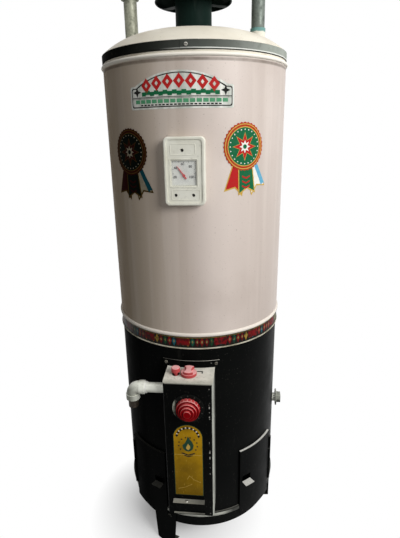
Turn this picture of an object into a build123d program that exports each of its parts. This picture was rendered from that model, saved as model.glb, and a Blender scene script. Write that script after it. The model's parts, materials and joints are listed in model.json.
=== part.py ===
from build123d import *
from math import asin, cos, degrees, radians, sin
import os

# Floor-standing gas storage water heater.
# Millimetres, +Z up. The origin is on the floor, on the drum's axis.
# The control box faces -Y. Azimuths run from -Y towards +X, in degrees.

os.makedirs("parts", exist_ok=True)

# Clearances and cuts
fit_gap = 0.3
shaft_gap = 0.05
overrun = 5.0

# Drum: enamelled upper shell, trim strip and skirt
jacket_room = 35.0
shell_height = 533.0
jacket_sheet = 1.0
shell_top_bead = 6.0
shell_top_bead_proud = 3.6
shell_low_bead = 8.0
shell_low_bead_proud = 3.2
trim_height = 28.0
trim_sheet = 1.2
trim_bead = 3.0
trim_bead_proud = 1.6
skirt_height = 440.0
skirt_lap = 20.0
skirt_window_margin = 5.0

# Base ring and floor pan
base_sheet = 1.5
base_wall_height = 32.0
base_setback = 3.0
base_bead_height = 13.0
base_bead_proud = 3.7
base_flange = 14.0
pan_sheet = 1.2
pan_slot_count = 8
pan_slot_length = 60.0
pan_slot_width = 16.0
pan_slot_radius_share = 0.6

# Legs and their bolts
leg_height = 76.0
leg_width = 66.0
leg_foot_width = 50.0
leg_foot_depth = 24.0
leg_sheet = 2.5
leg_corner = 7.0
front_leg_angle = -24.5
right_leg_angle = 95.5
rear_leg_angle = 215.5
foot_hole_radius = 4.5
foot_hole_inset = 11.0
bolt_radius = 3.0
bolt_head_flats = 10.0
bolt_head_height = 4.0
bolt_spacing = 30.0
bolt_rise = 16.0
nut_height = 5.0
bolt_tail = 2.0

# Tank, flue and insulation
tank_radius = 155.0
tank_wall = 3.0
tank_rise = 225.0
tank_head_room = 61.0
tank_bottom_rise = 25.0
tank_top_rise = 30.0
flue_radius = 37.0
flue_wall = 1.5
baffle_width = 46.0
baffle_sheet = 1.2
baffle_length_share = 0.685
baffle_swing = 18.0
baffle_bends = 8
baffle_hook_width = 6.0
stand_rim_width = 16.0
stand_sheet = 4.0
stand_post_width = 24.0
stand_post_angles = (16, 124, 236, 344)
blanket_top = 22.0

# Lid with its clamping band
lid_sheet = 1.2
lid_lip = 20.0
lid_crown = 41.0
lid_crown_drop = 5.0
lid_knuckle_share = 0.58
lid_inset = 0.6
band_height = 15.0
band_sheet = 1.0
band_rise = 4.0
band_lap_angle = 9.0
band_lap_start_angle = -1.0
band_screw_angle = 2.0
band_screw_radius = 3.2
band_screw_head = 2.0

# Draft hood and its straps
hood_rise = 60.0
hood_radius = 77.0
hood_lip = 7.0
hood_cone = 45.0
hood_collar_radius = 38.1
hood_collar = 38.0
hood_sheet = 1.0
hood_overlap = 18.0
strap_width = 16.0
strap_sheet = 2.0
strap_ear = 12.0
strap_count = 3

# Water pipes
pipe_radius = 13.45
pipe_wall = 2.6
pipe_inset = 24.0
pipe_rise = 149.0
hot_pipe_rise = 132.0
pipe_dip = 18.0
pipe_thread_length = 18.0
thread_depth = 0.25
socket_wall = 3.4
socket_length = 40.0
socket_bead = 6.0
socket_bead_proud = 1.2
pipe_ring_height = 9.0
pipe_ring_wall = 1.6
dip_tube_foot_gap = 152.0
dip_tube_wall = 1.6
dip_tube_grip = 30.0

# Drain
drain_lift = 24.0
drain_radius = 10.65
drain_wall = 2.6
drain_stand_off = 8.0
drain_flange_radius = 21.0
drain_flange = 2.4
drain_head_flats = 21.0
drain_head = 11.0
drain_head_corner = 2.5
drain_plug_reach = 16.0

# Control cover, a folded sheet box on the front of the skirt
cover_width = 102.0
cover_proud = 60.3
cover_top_drop = 44.0
cover_foot_drop = 10.0
cover_sheet = 1.5
cover_edge = 5.0
cover_flange_side = 9.5
cover_flange_top = 16.0
cover_flange_bottom = 4.0
ledge_width = 69.0
ledge_depth = 12.0
ledge_shift = -3.5
ledge_rise = 43.0
hem_depth = 4.0
hem_rise = 6.0
cover_screw_radius = 3.6
cover_screw_head = 2.4
cover_screw_drop = 7.0
cover_screw_reach = 53.0
escutcheon_radius = 33.0
escutcheon_bore = 21.0
escutcheon_sheet = 2.0
escutcheon_edge = 1.2

# Gas valve inside the cover
valve_width = 76.0
valve_depth = 42.0
valve_height = 86.0
valve_set_back = 32.0
valve_drop = 11.0
valve_corner = 6.0
valve_boss_radius = 16.0
valve_boss = 4.0
valve_cock_boss_radius = 12.0
probe_shank_radius = 11.0
probe_radius = 5.0
probe_length_share = 0.78

# Gas supply: nipple, elbow and stub
gas_drop = 23.0
gas_pipe_radius = 10.65
gas_pipe_wall = 2.6
gas_pipe_grip = 8.0
elbow_reach = 122.0
elbow_arm = 27.0
elbow_band = 12.0
elbow_band_radius = 14.6
elbow_body_radius = 13.2
stub_length = 31.0
stub_thread_length = 14.0
tape_length = 5.0
tape_thickness = 1.2

# Burner train under the tank
burner_drop = 111.0
burner_radius = 60.0
burner_height = 28.0
burner_dome = 6.0
burner_port_count = 16
burner_port_radius = 2.5
burner_port_circle = 46.0
burner_boss_reach = 72.0
pedestal_radius = 9.0
pedestal_foot_radius = 24.0
pedestal_plate = 4.0
venturi_throat = 11.0
venturi_mouth = 18.0
venturi_length = 58.0
venturi_wall = 2.0
manifold_radius = 6.35
manifold_wall = 1.2
manifold_bend = 30.0
manifold_grip = 8.0
manifold_tip_reach = 118.0
lead_spread = 24.0
lead_drop = 14.0
lead_bend = 18.0
pilot_tube_radius = 2.5
thermocouple_radius = 2.0
pilot_reach = 80.0
pilot_head_radius = 4.5
pilot_head_length = 18.0
tip_radius = 3.2
tip_length = 26.0
bracket_width = 66.0
bracket_depth = 16.0
bracket_sheet = 2.0
bracket_corner = 4.0

# Burner access doors, placed to both sides of their own middle azimuth
door_middle_angle = 6.45
door_free_angle = 27.2
door_hinge_angle = 61.5
door_proud = 4.3
door_sheet = 1.2
door_bottom_rise = 17.0
door_top_rise = 205.0
door_frame = 10.0
door_edge_angle = 0.4
tab_start_angle = 29.3
tab_end_angle = 36.4
tab_rise = 114.0
tab_depth = 16.5
tab_window = 16.0
hinge_radius = 2.0
knuckle_wall = 1.5
knuckle_length = 60.0
hinge_proud = 6.0
hinge_leaf_angle = 7.0
hinge_leaf_sheet = 1.2
hinge_web = 2.0
hinge_margin = 24.0
hinge_foot_gap = 8.0

# Dial thermometer
gauge_width = 75.0
gauge_height = 122.0
gauge_rise = 849.0
gauge_proud = 15.0
gauge_corner = 9.0
gauge_edge = 2.5
gauge_step = 5.0
gauge_step_depth = 1.5
gauge_window_width = 48.0
gauge_window_height = 47.0
gauge_window_left = 12.0
gauge_window_top = 40.0
gauge_rebate = 1.5
gauge_glass = 1.2
gauge_glass_depth = 1.7
gauge_pocket = 6.4
gauge_face = 1.0
gauge_hole_radius = 3.0
gauge_hole_depth = 6.0
gauge_holes = ((34.0, 23.5), (20.5, 103.0), (53.0, 103.0))
gauge_screw_height = 2.5
needle_left = 36.0
needle_top = 68.0
needle_length = 21.3
needle_tail = 7.2
needle_width = 2.6
needle_sheet = 0.8
needle_lift = 1.2
needle_hub_radius = 2.6
needle_pin_radius = 1.2
needle_pin_length = 4.0
needle_lean_angle = 36.5
stem_radius = 4.0

# Controls
dial_drop = 47.5
dial_shift = 0.4
dial_radius = 25.0
dial_depth = 21.0
dial_lift = 0.6
dial_step_radius_shares = (1.0, 0.8, 0.6, 0.36)
dial_step_depth_shares = (0.42, 0.66, 0.84, 1.0)
dial_step_slope_share = 0.06
dial_grip_count = 20
dial_grip_radius = 1.4
spindle_radius = 4.0
spindle_grip = 12.0
spindle_sink = 14.0
cock_shift = -1.0
cock_radius = 16.5
cock_base = 6.5
cock_height = 12.5
cock_bar_width = 11.0
cock_edge = 1.2
cock_lift = 0.8
cock_stem_radius = 5.0
cock_stem_grip = 6.0
cock_stem_sink = 18.0
button_shift = -28.2
button_radius = 9.4
button_cap = 9.0
button_cap_edge = 2.5
button_travel = 6.0
button_lift = 1.5
button_stem_radius = 4.0
button_stem_sink = 12.0
button_hole_radius = 7.5

# Heights of the seams, from the floor up
base_z = leg_height
bead_z = base_z + base_wall_height
shelf_z = bead_z + base_sheet
bead_top_z = bead_z + base_bead_height
trim_z = bead_top_z + skirt_height
shell_z = trim_z + trim_height
shell_top_z = shell_z + shell_height
lid_edge_z = shell_top_z + lid_lip
lid_top_z = lid_edge_z + lid_crown
hood_z = lid_top_z + hood_rise
hood_cone_z = hood_z + hood_lip
hood_collar_z = hood_cone_z + hood_cone
flue_top_z = hood_z + hood_overlap
pan_z = base_z + base_sheet
pan_top_z = pan_z + pan_sheet
tank_z = base_z + tank_rise
tank_shoulder_z = shell_top_z - tank_head_room
tank_top_z = tank_shoulder_z + tank_top_rise
burner_z = tank_z - burner_drop
manifold_z = burner_z + burner_height / 2
cover_z = burner_z - cover_foot_drop
cover_top_z = trim_z - cover_top_drop
cover_middle_z = (cover_z + cover_top_z) / 2
cover_height = cover_top_z - cover_z
valve_top_z = cover_top_z - valve_drop
valve_z = valve_top_z - valve_height
gas_z = valve_top_z - gas_drop
dial_z = valve_top_z - dial_drop
gauge_z = base_z + gauge_rise
drain_z = tank_z + drain_lift

# Radii of the nested rings, and what stands off them
shell_radius = tank_radius + jacket_room
skirt_radius = shell_radius - jacket_sheet - fit_gap
skirt_bore = skirt_radius - jacket_sheet
trim_bore = skirt_radius + fit_gap
trim_radius = trim_bore + trim_sheet
base_wall_radius = skirt_radius - base_setback
base_wall_bore = base_wall_radius - base_sheet
bead_bore = skirt_radius + fit_gap
bead_neck = bead_bore + base_sheet
bead_radius = skirt_radius + base_bead_proud
leg_bore = base_wall_radius + fit_gap
leg_outside = leg_bore + leg_sheet
lid_radius = shell_radius - lid_inset
band_bore = lid_radius + fit_gap
band_radius = band_bore + band_sheet
flue_bore = flue_radius - flue_wall
flue_clear = flue_radius + fit_gap
pipe_bore = pipe_radius - pipe_wall
pipe_clear = pipe_radius + fit_gap
drain_bore = drain_radius - drain_wall
gas_pipe_bore = gas_pipe_radius - gas_pipe_wall
gas_pipe_clear = gas_pipe_radius + fit_gap
socket_radius = pipe_clear + socket_wall
door_radius = skirt_radius + door_proud + door_sheet
door_bore = skirt_radius + door_proud
hinge_reach = skirt_radius + hinge_proud
knuckle_radius = hinge_radius + knuckle_wall
pipe_reach = tank_radius - pipe_inset
cover_front = skirt_radius + cover_proud
valve_reach = cover_front - valve_set_back


def polar(radius, azimuth):
    """Point at a radius and azimuth round the drum's axis."""
    return (radius * sin(radians(azimuth)), -radius * cos(radians(azimuth)))


def facing(azimuth, radius, height):
    """Plane that faces outwards, with its own Y up."""
    x, y = polar(radius, azimuth)
    across = (cos(radians(azimuth)), sin(radians(azimuth)), 0)
    return Plane(origin=(x, y, height), x_dir=across, z_dir=(*polar(1, azimuth), 0))


def section(azimuth):
    """Plane through the axis, with X outwards and Y up, to revolve profiles from."""
    normal = (-cos(radians(azimuth)), -sin(radians(azimuth)), 0)
    return Plane(origin=(0, 0, 0), x_dir=(*polar(1, azimuth), 0), z_dir=normal)


def sector(bore, radius, low, high, azimuth=0, arc=360, mode=Mode.ADD):
    """Ring of rectangular section, or an arc of one, in the open part."""
    with BuildSketch(section(azimuth)) as profile:
        with Locations(((bore + radius) / 2, (low + high) / 2)):
            Rectangle(radius - bore, high - low)
    revolve(profile.sketch, axis=Axis.Z, revolution_arc=arc, mode=mode)


def rod(plane, radius, length, bore=0, mode=Mode.ADD):
    """Round bar or tube along a plane's normal, in the open part."""
    with BuildSketch(plane) as profile:
        Circle(radius)
        if bore:
            Circle(bore, mode=Mode.SUBTRACT)
    extrude(profile.sketch, amount=length, mode=mode)


def drill(plane, radius, depth):
    """Round hole into a plane, against its normal, in the open part."""
    rod(plane, radius, -depth, mode=Mode.SUBTRACT)


def upright(x, y, height):
    """Plane that faces up at a place."""
    return Plane(origin=(x, y, height))


def pipe_plane(side, height):
    """Plane that faces up on the cold pipe's axis, or the hot one's on the other side."""
    return upright(side * pipe_reach, 0, height)


def dial_plane(reach):
    """Plane that faces forwards on the temperature dial's axis."""
    return Plane(origin=(dial_shift, -reach, dial_z), x_dir=(1, 0, 0), z_dir=(0, -1, 0))


def cock_plane(height):
    """Plane that faces up on the gas cock's axis."""
    return upright(cock_shift, -valve_reach, height)


def button_plane(height):
    """Plane that faces up on the reset button's axis."""
    return upright(button_shift, -valve_reach, height)


def write(piece, name):
    """Label a finished piece and write it to its own file."""
    piece.part.label = name
    export_step(piece.part, f"parts/{name}.step")


# Base ring: wall, turned-in flange and the rolled bead that takes the skirt
leg_bolt_turn = degrees(bolt_spacing / base_wall_radius) / 2
leg_bolt_z = base_z + bolt_rise
leg_angles = {"front_leg": front_leg_angle, "right_leg": right_leg_angle, "rear_leg": rear_leg_angle}
leg_bolt_azimuths = [
    azimuth + side * leg_bolt_turn for azimuth in leg_angles.values() for side in (-1, 1)
]
bolt_hole_radius = bolt_radius + fit_gap

with BuildPart() as base_ring:
    with BuildSketch(section(0)):
        with BuildLine():
            Polyline(
                (bead_neck, bead_z),
                (base_wall_radius, bead_z),
                (base_wall_radius, base_z),
                (base_wall_radius - base_flange, base_z),
                (base_wall_radius - base_flange, pan_z),
                (base_wall_bore, pan_z),
                (base_wall_bore, shelf_z),
                (bead_bore, shelf_z),
                (bead_bore, bead_top_z),
                (bead_neck, bead_top_z),
            )
            ThreePointArc(
                (bead_neck, bead_top_z),
                (bead_radius, (bead_z + bead_top_z) / 2),
                (bead_neck, bead_z),
            )
        make_face()
    revolve(axis=Axis.Z)
    for bolt_azimuth in leg_bolt_azimuths:
        drill(
            facing(bolt_azimuth, base_wall_radius + overrun, leg_bolt_z),
            bolt_hole_radius,
            base_sheet + 2 * overrun,
        )
write(base_ring, "base_ring")

# Floor pan with air slots, lying on the base ring's flange
with BuildPart() as base_pan:
    with BuildSketch(Plane.XY.offset(pan_z)):
        Circle(base_wall_bore - fit_gap)
        with PolarLocations(pan_slot_radius_share * base_wall_bore, pan_slot_count):
            SlotOverall(pan_slot_length, pan_slot_width, mode=Mode.SUBTRACT)
    extrude(amount=pan_sheet)
write(base_pan, "base_pan")


def make_leg(azimuth):
    """Pressed leg, curved to the base ring, with a turned-in foot and a hole to bolt it down."""
    turn = degrees(leg_width / leg_bore)
    with BuildPart() as leg:
        with BuildSketch(section(azimuth - turn)):
            with BuildLine():
                Polyline(
                    (leg_outside - leg_foot_depth, 0),
                    (leg_outside, 0),
                    (leg_outside, bead_z - fit_gap),
                    (leg_bore, bead_z - fit_gap),
                    (leg_bore, leg_sheet),
                    (leg_outside - leg_foot_depth, leg_sheet),
                    close=True,
                )
            make_face()
        revolve(axis=Axis.Z, revolution_arc=2 * turn)
        with BuildSketch(facing(azimuth, leg_outside + overrun, 0)) as outline:
            with BuildLine():
                Polyline(
                    (-leg_foot_width / 2, 0),
                    (leg_foot_width / 2, 0),
                    (leg_width / 2, bead_z),
                    (-leg_width / 2, bead_z),
                    close=True,
                )
            make_face()
            fillet(outline.vertices().group_by(Axis.Y)[0], radius=leg_corner)
        extrude(amount=-(leg_foot_depth + 3 * overrun), mode=Mode.INTERSECT)
        for side in (-1, 1):
            drill(
                facing(azimuth + side * leg_bolt_turn, leg_outside + overrun, leg_bolt_z),
                bolt_hole_radius,
                leg_sheet + 2 * overrun,
            )
        foot_hole = polar(leg_bore - foot_hole_inset, azimuth)
        drill(upright(*foot_hole, leg_sheet + overrun), foot_hole_radius, leg_sheet + 2 * overrun)
    return leg


for leg_name, leg_azimuth in leg_angles.items():
    write(make_leg(leg_azimuth), leg_name)

# Bolts and nuts of the legs
nut_seat = base_wall_bore - fit_gap
with BuildPart() as leg_bolts:
    for bolt_azimuth in leg_bolt_azimuths:
        with BuildSketch(facing(bolt_azimuth, leg_outside, leg_bolt_z)) as head:
            RegularPolygon(bolt_head_flats / 2, 6, major_radius=False)
        extrude(head.sketch, amount=bolt_head_height)
        rod(
            facing(bolt_azimuth, leg_outside, leg_bolt_z),
            bolt_radius,
            -(leg_outside - nut_seat + nut_height + bolt_tail),
        )
write(leg_bolts, "leg_bolts")

with BuildPart() as leg_nuts:
    for bolt_azimuth in leg_bolt_azimuths:
        with BuildSketch(facing(bolt_azimuth, nut_seat, leg_bolt_z)) as nut:
            RegularPolygon(bolt_head_flats / 2, 6, major_radius=False)
            Circle(bolt_radius + shaft_gap, mode=Mode.SUBTRACT)
        extrude(nut.sketch, amount=-nut_height)
write(leg_nuts, "leg_nuts")

# Skirt: black lower jacket with two door openings and the holes for the valve and drain
door_span = (
    degrees(door_frame / skirt_radius) + door_free_angle,
    door_hinge_angle - degrees(door_frame / skirt_radius),
)
door_z = base_z + door_bottom_rise
door_top_z = base_z + door_top_rise
valve_window = 2 * (probe_shank_radius + skirt_window_margin)
lead_window_width = 2 * (lead_spread + pilot_tube_radius + skirt_window_margin)
lead_window_low = manifold_z - lead_drop - pilot_tube_radius - skirt_window_margin
lead_window_high = manifold_z + manifold_radius + skirt_window_margin


def door_arc(side, first, last):
    """Start azimuth and arc between two angles on one side of the doors' middle."""
    ends = (door_middle_angle + side * first, door_middle_angle + side * last)
    return {"azimuth": min(ends), "arc": abs(last - first)}


with BuildPart() as skirt:
    sector(skirt_bore, skirt_radius, shelf_z, shell_z + skirt_lap)
    for door_side in (-1, 1):
        sector(
            skirt_bore - overrun,
            skirt_radius + overrun,
            bead_top_z + fit_gap,
            door_top_z - door_frame,
            mode=Mode.SUBTRACT,
            **door_arc(door_side, *door_span),
        )
    with BuildSketch(dial_plane(skirt_radius + overrun)):
        Rectangle(valve_window, valve_window)
    extrude(amount=-(jacket_sheet + 2 * overrun), mode=Mode.SUBTRACT)
    with BuildSketch(facing(0, skirt_radius + overrun, (lead_window_low + lead_window_high) / 2)):
        Rectangle(lead_window_width, lead_window_high - lead_window_low)
    extrude(amount=-(jacket_sheet + 2 * overrun), mode=Mode.SUBTRACT)
    drill(
        facing(90, skirt_radius + overrun, drain_z),
        drain_radius + fit_gap,
        jacket_sheet + 2 * overrun,
    )
write(skirt, "skirt")

# Trim strip with its own lower bead, under the upper shell's bead
with BuildPart() as trim_strip:
    with BuildSketch(section(0)):
        with BuildLine():
            Polyline(
                (trim_radius, trim_z + trim_bead),
                (trim_radius, shell_z),
                (trim_bore, shell_z),
                (trim_bore, trim_z),
                (trim_radius, trim_z),
            )
            ThreePointArc(
                (trim_radius, trim_z),
                (trim_radius + trim_bead_proud, trim_z + trim_bead / 2),
                (trim_radius, trim_z + trim_bead),
            )
        make_face()
    revolve(axis=Axis.Z)
write(trim_strip, "trim_strip")

# Upper shell with a rolled bead at both ends
shell_bore = shell_radius - jacket_sheet
with BuildPart() as upper_shell:
    with BuildSketch(section(0)):
        with BuildLine():
            ThreePointArc(
                (shell_radius, shell_z),
                (shell_radius + shell_low_bead_proud, shell_z + shell_low_bead / 2),
                (shell_radius, shell_z + shell_low_bead),
            )
            Line((shell_radius, shell_z + shell_low_bead), (shell_radius, shell_top_z - shell_top_bead))
            ThreePointArc(
                (shell_radius, shell_top_z - shell_top_bead),
                (shell_radius + shell_top_bead_proud, shell_top_z - shell_top_bead / 2),
                (shell_radius, shell_top_z),
            )
            Polyline(
                (shell_radius, shell_top_z),
                (shell_bore, shell_top_z),
                (shell_bore, shell_z),
                (shell_radius, shell_z),
            )
        make_face()
    revolve(axis=Axis.Z)
    drill(facing(0, shell_radius + overrun, gauge_z), stem_radius + fit_gap, jacket_sheet + 2 * overrun)
write(upper_shell, "upper_shell")

# Lid: low dome with a straight lip that stands on the shell


def dome(inset, low):
    """Face under the dome, drawn in by an inset all round, down to a height."""
    crown_z = lid_top_z - inset
    knuckle_z = crown_z - lid_crown_drop
    knuckle = lid_knuckle_share * lid_radius
    middle = (flue_clear + knuckle) / 2
    edge = lid_radius - inset
    with BuildSketch(section(0)) as face:
        with BuildLine():
            crown = ThreePointArc(
                (flue_clear, crown_z),
                (middle, crown_z - lid_crown_drop / 4),
                (knuckle, knuckle_z),
            )
            TangentArc(crown @ 1, (edge, lid_edge_z - inset), tangent=crown % 1)
            Polyline((edge, lid_edge_z - inset), (edge, low), (flue_clear, low), (flue_clear, crown_z))
        make_face()
    return face.sketch


with BuildPart() as lid:
    revolve(dome(0, shell_top_z), axis=Axis.Z)
    revolve(dome(lid_sheet, shell_top_z - overrun), axis=Axis.Z, mode=Mode.SUBTRACT)
    for pipe_side in (-1, 1):
        drill(pipe_plane(pipe_side, lid_top_z), pipe_clear, lid_top_z - shell_top_z)
write(lid, "lid")

# Clamping band round the lid's lip, lapped and screwed at the front
band_z = shell_top_z + band_rise
band_top_z = band_z + band_height
with BuildPart() as lid_band:
    sector(band_bore, band_radius, band_z, band_top_z)
    sector(
        band_radius - fit_gap,
        band_radius + band_sheet,
        band_z,
        band_top_z,
        azimuth=band_lap_start_angle,
        arc=band_lap_angle,
    )
write(lid_band, "lid_band")

with BuildPart() as lid_band_screw:
    seat = facing(band_screw_angle, band_radius + band_sheet, (band_z + band_top_z) / 2)
    rod(seat, band_screw_radius, band_screw_head)
    fillet(lid_band_screw.faces().sort_by(Axis.Y)[0].edges(), radius=band_screw_head / 2)
write(lid_band_screw, "lid_band_screw")

# Tank: outer wall with a raised bottom and a low conical top
tank_bore = tank_radius - tank_wall
with BuildPart() as tank:
    with BuildSketch(section(0)):
        with BuildLine():
            Polyline(
                (flue_clear, tank_z + tank_bottom_rise),
                (tank_radius, tank_z),
                (tank_radius, tank_shoulder_z),
                (flue_clear, tank_top_z),
                (flue_clear, tank_top_z - tank_wall),
                (tank_bore, tank_shoulder_z - tank_wall),
                (tank_bore, tank_z + tank_wall),
                (flue_clear, tank_z + tank_bottom_rise + tank_wall),
                close=True,
            )
        make_face()
    revolve(axis=Axis.Z)
    for pipe_side in (-1, 1):
        drill(pipe_plane(pipe_side, tank_top_z), pipe_clear, tank_top_rise + pipe_dip)
    drill(facing(90, tank_radius + overrun, drain_z), drain_radius + fit_gap, tank_wall + 2 * overrun)
    drill(dial_plane(tank_radius + overrun), probe_shank_radius + fit_gap, tank_wall + 2 * overrun)
write(tank, "tank")

# Stand under the tank: a rim on flat posts
stand_z = tank_z - stand_sheet - fit_gap
stand_bore = tank_radius - stand_rim_width
with BuildPart() as tank_stand:
    sector(stand_bore, tank_radius, stand_z, stand_z + stand_sheet)
    for post_azimuth in stand_post_angles:
        with BuildSketch(facing(post_azimuth, (stand_bore + tank_radius) / 2, pan_top_z)) as post:
            with Locations((0, (stand_z - pan_top_z) / 2)):
                Rectangle(stand_post_width, stand_z - pan_top_z)
        extrude(post.sketch, amount=stand_sheet / 2, both=True)
write(tank_stand, "tank_stand")

# Flue tube through the tank, and the bent baffle that hangs in it
with BuildPart() as flue_tube:
    sector(flue_bore, flue_radius, tank_z + tank_bottom_rise, flue_top_z)
write(flue_tube, "flue_tube")

baffle_pitch = baffle_length_share * (flue_top_z - tank_z) / baffle_bends
baffle_points = [
    (baffle_swing * (1 if bend % 2 else -1), flue_top_z - bend * baffle_pitch)
    for bend in range(baffle_bends + 1)
]
with BuildPart() as flue_baffle:
    with BuildSketch(Plane.XZ):
        with BuildLine():
            Polyline(*baffle_points)
            offset(amount=baffle_sheet, side=Side.LEFT)
        make_face()
    extrude(amount=baffle_width / 2, both=True)
    with BuildSketch(Plane.XY.offset(flue_top_z)):
        Rectangle(2 * flue_radius, baffle_hook_width)
    extrude(amount=baffle_sheet)
write(flue_baffle, "flue_baffle")

# Glass-wool jacket between the tank and the drum
blanket_z = tank_top_z + fit_gap
with BuildPart() as insulation:
    with BuildSketch(section(0)):
        with BuildLine():
            Polyline(
                (tank_radius + fit_gap, tank_z),
                (skirt_bore - fit_gap, tank_z),
                (skirt_bore - fit_gap, blanket_z + blanket_top),
                (flue_clear, blanket_z + blanket_top),
                (flue_clear, blanket_z),
                (tank_radius + fit_gap, blanket_z),
                close=True,
            )
        make_face()
    revolve(axis=Axis.Z)
    for pipe_side in (-1, 1):
        drill(
            pipe_plane(pipe_side, blanket_z + blanket_top + overrun),
            pipe_clear,
            blanket_top + 2 * overrun,
        )
    blanket_cut = skirt_radius + 2 * overrun - tank_radius
    drill(facing(90, skirt_radius + overrun, drain_z), drain_radius + fit_gap, blanket_cut)
    drill(facing(0, skirt_radius + overrun, gauge_z), stem_radius + fit_gap, blanket_cut)
    drill(dial_plane(skirt_radius + overrun), probe_shank_radius + fit_gap, blanket_cut)
write(insulation, "insulation")

# Draft hood over the flue, carried on three straps
collar_top_z = hood_collar_z + hood_collar
with BuildPart() as draft_hood:
    with BuildSketch(section(0)):
        with BuildLine():
            Polyline(
                (hood_radius, hood_z),
                (hood_radius, hood_cone_z),
                (hood_collar_radius, hood_collar_z),
                (hood_collar_radius, collar_top_z),
                (hood_collar_radius - hood_sheet, collar_top_z),
                (hood_collar_radius - hood_sheet, hood_collar_z - hood_sheet / 2),
                (hood_radius - hood_sheet, hood_cone_z - hood_sheet / 2),
                (hood_radius - hood_sheet, hood_z),
                close=True,
            )
        make_face()
    revolve(axis=Axis.Z)
write(draft_hood, "draft_hood")

strap_inside = flue_radius + fit_gap
strap_outside = hood_radius - hood_sheet - fit_gap
with BuildPart() as hood_straps:
    for strap in range(strap_count):
        with BuildSketch(section(strap * 360 / strap_count)) as bend:
            with BuildLine():
                Polyline(
                    (strap_inside, hood_z + strap_ear),
                    (strap_inside, hood_z),
                    (strap_outside, hood_z),
                    (strap_outside, hood_cone_z - fit_gap),
                    (strap_outside - strap_sheet, hood_cone_z - fit_gap),
                    (strap_outside - strap_sheet, hood_z + strap_sheet),
                    (strap_inside + strap_sheet, hood_z + strap_sheet),
                    (strap_inside + strap_sheet, hood_z + strap_ear),
                    close=True,
                )
            make_face()
        extrude(bend.sketch, amount=strap_width / 2, both=True)
    sector(0, strap_inside, hood_z - overrun, hood_z + strap_ear + overrun, mode=Mode.SUBTRACT)
    sector(
        strap_outside,
        strap_outside + overrun,
        hood_z - overrun,
        hood_cone_z + overrun,
        mode=Mode.SUBTRACT,
    )
write(hood_straps, "hood_straps")

# Water pipes, with the socket on the hot one and the coloured ring on the cold one
pipe_foot_z = tank_shoulder_z - pipe_dip
pipe_top_z = lid_edge_z + pipe_rise
pipe_thread_z = pipe_top_z - pipe_thread_length
pipe_thread_radius = pipe_radius - thread_depth
hot_pipe_top_z = lid_edge_z + hot_pipe_rise
socket_z = hot_pipe_top_z - socket_length / 2
socket_thread_bore = pipe_thread_radius + 2 * shaft_gap
with BuildPart() as cold_pipe:
    rod(pipe_plane(1, pipe_foot_z), pipe_radius, pipe_thread_z - pipe_foot_z, bore=pipe_bore)
    rod(pipe_plane(1, pipe_thread_z), pipe_thread_radius, pipe_thread_length, bore=pipe_bore)
write(cold_pipe, "cold_pipe")

with BuildPart() as hot_pipe:
    rod(pipe_plane(-1, pipe_foot_z), pipe_radius, hot_pipe_top_z - pipe_foot_z, bore=pipe_bore)
write(hot_pipe, "hot_pipe")

with BuildPart() as hot_socket:
    rod(pipe_plane(-1, socket_z), socket_radius, socket_length, bore=socket_thread_bore)
    drill(pipe_plane(-1, hot_pipe_top_z + fit_gap), pipe_clear, socket_length)
    for bead_low in (socket_z, socket_z + socket_length - socket_bead):
        rod(
            pipe_plane(-1, bead_low),
            socket_radius + socket_bead_proud,
            socket_bead,
            bore=socket_radius,
        )
write(hot_socket, "hot_socket")

with BuildPart() as cold_pipe_ring:
    rod(
        pipe_plane(1, lid_edge_z),
        pipe_clear + pipe_ring_wall,
        lid_crown + pipe_ring_height,
        bore=pipe_clear,
    )
    revolve(dome(-fit_gap, shell_top_z), axis=Axis.Z, mode=Mode.SUBTRACT)
write(cold_pipe_ring, "cold_pipe_ring")

with BuildPart() as dip_tube:
    dip_radius = pipe_bore - fit_gap
    rod(
        pipe_plane(1, pipe_foot_z + dip_tube_grip),
        dip_radius,
        tank_z + dip_tube_foot_gap - pipe_foot_z - dip_tube_grip,
        bore=dip_radius - dip_tube_wall,
    )
write(dip_tube, "dip_tube")

# Drain nipple and its plug, on the right side
drain_face = skirt_radius + drain_stand_off
with BuildPart() as drain_nipple:
    rod(
        facing(90, drain_face, drain_z),
        drain_radius,
        -(drain_face - tank_bore),
        bore=drain_bore,
    )
write(drain_nipple, "drain_nipple")

with BuildPart() as drain_plug:
    rod(facing(90, drain_face, drain_z), drain_flange_radius, drain_flange)
    with BuildSketch(facing(90, drain_face + drain_flange, drain_z)):
        RectangleRounded(drain_head_flats, drain_head_flats, drain_head_corner)
    extrude(amount=drain_head)
    rod(facing(90, drain_face, drain_z), drain_bore - fit_gap, -drain_plug_reach)
write(drain_plug, "drain_plug")

# Control cover: folded box with a curved flange that follows the skirt
flange_bore = skirt_radius + fit_gap
flange_half_arc = degrees(asin((cover_width / 2 + cover_flange_side) / flange_bore))
cover_depth = cover_front - flange_bore * cos(radians(flange_half_arc)) + overrun
screw_azimuth = degrees(asin(cover_screw_reach / flange_bore))
screw_z = cover_top_z + cover_flange_top - cover_screw_drop
ledge_z = cover_z + ledge_rise
hem_z = cover_z + hem_rise


def folded_box(inset):
    """Box of the cover, set in by the sheet or not, folded round its front but for the foot."""
    with BuildPart() as box:
        with BuildSketch(facing(0, cover_front - inset, cover_middle_z)):
            Rectangle(cover_width - 2 * inset, cover_height - 2 * inset)
        extrude(amount=-cover_depth)
        folds = box.faces().sort_by(Axis.Y)[0].edges().sort_by(Axis.Z)[1:]
        fillet(folds, radius=cover_edge - inset)
    return box.part


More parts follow.
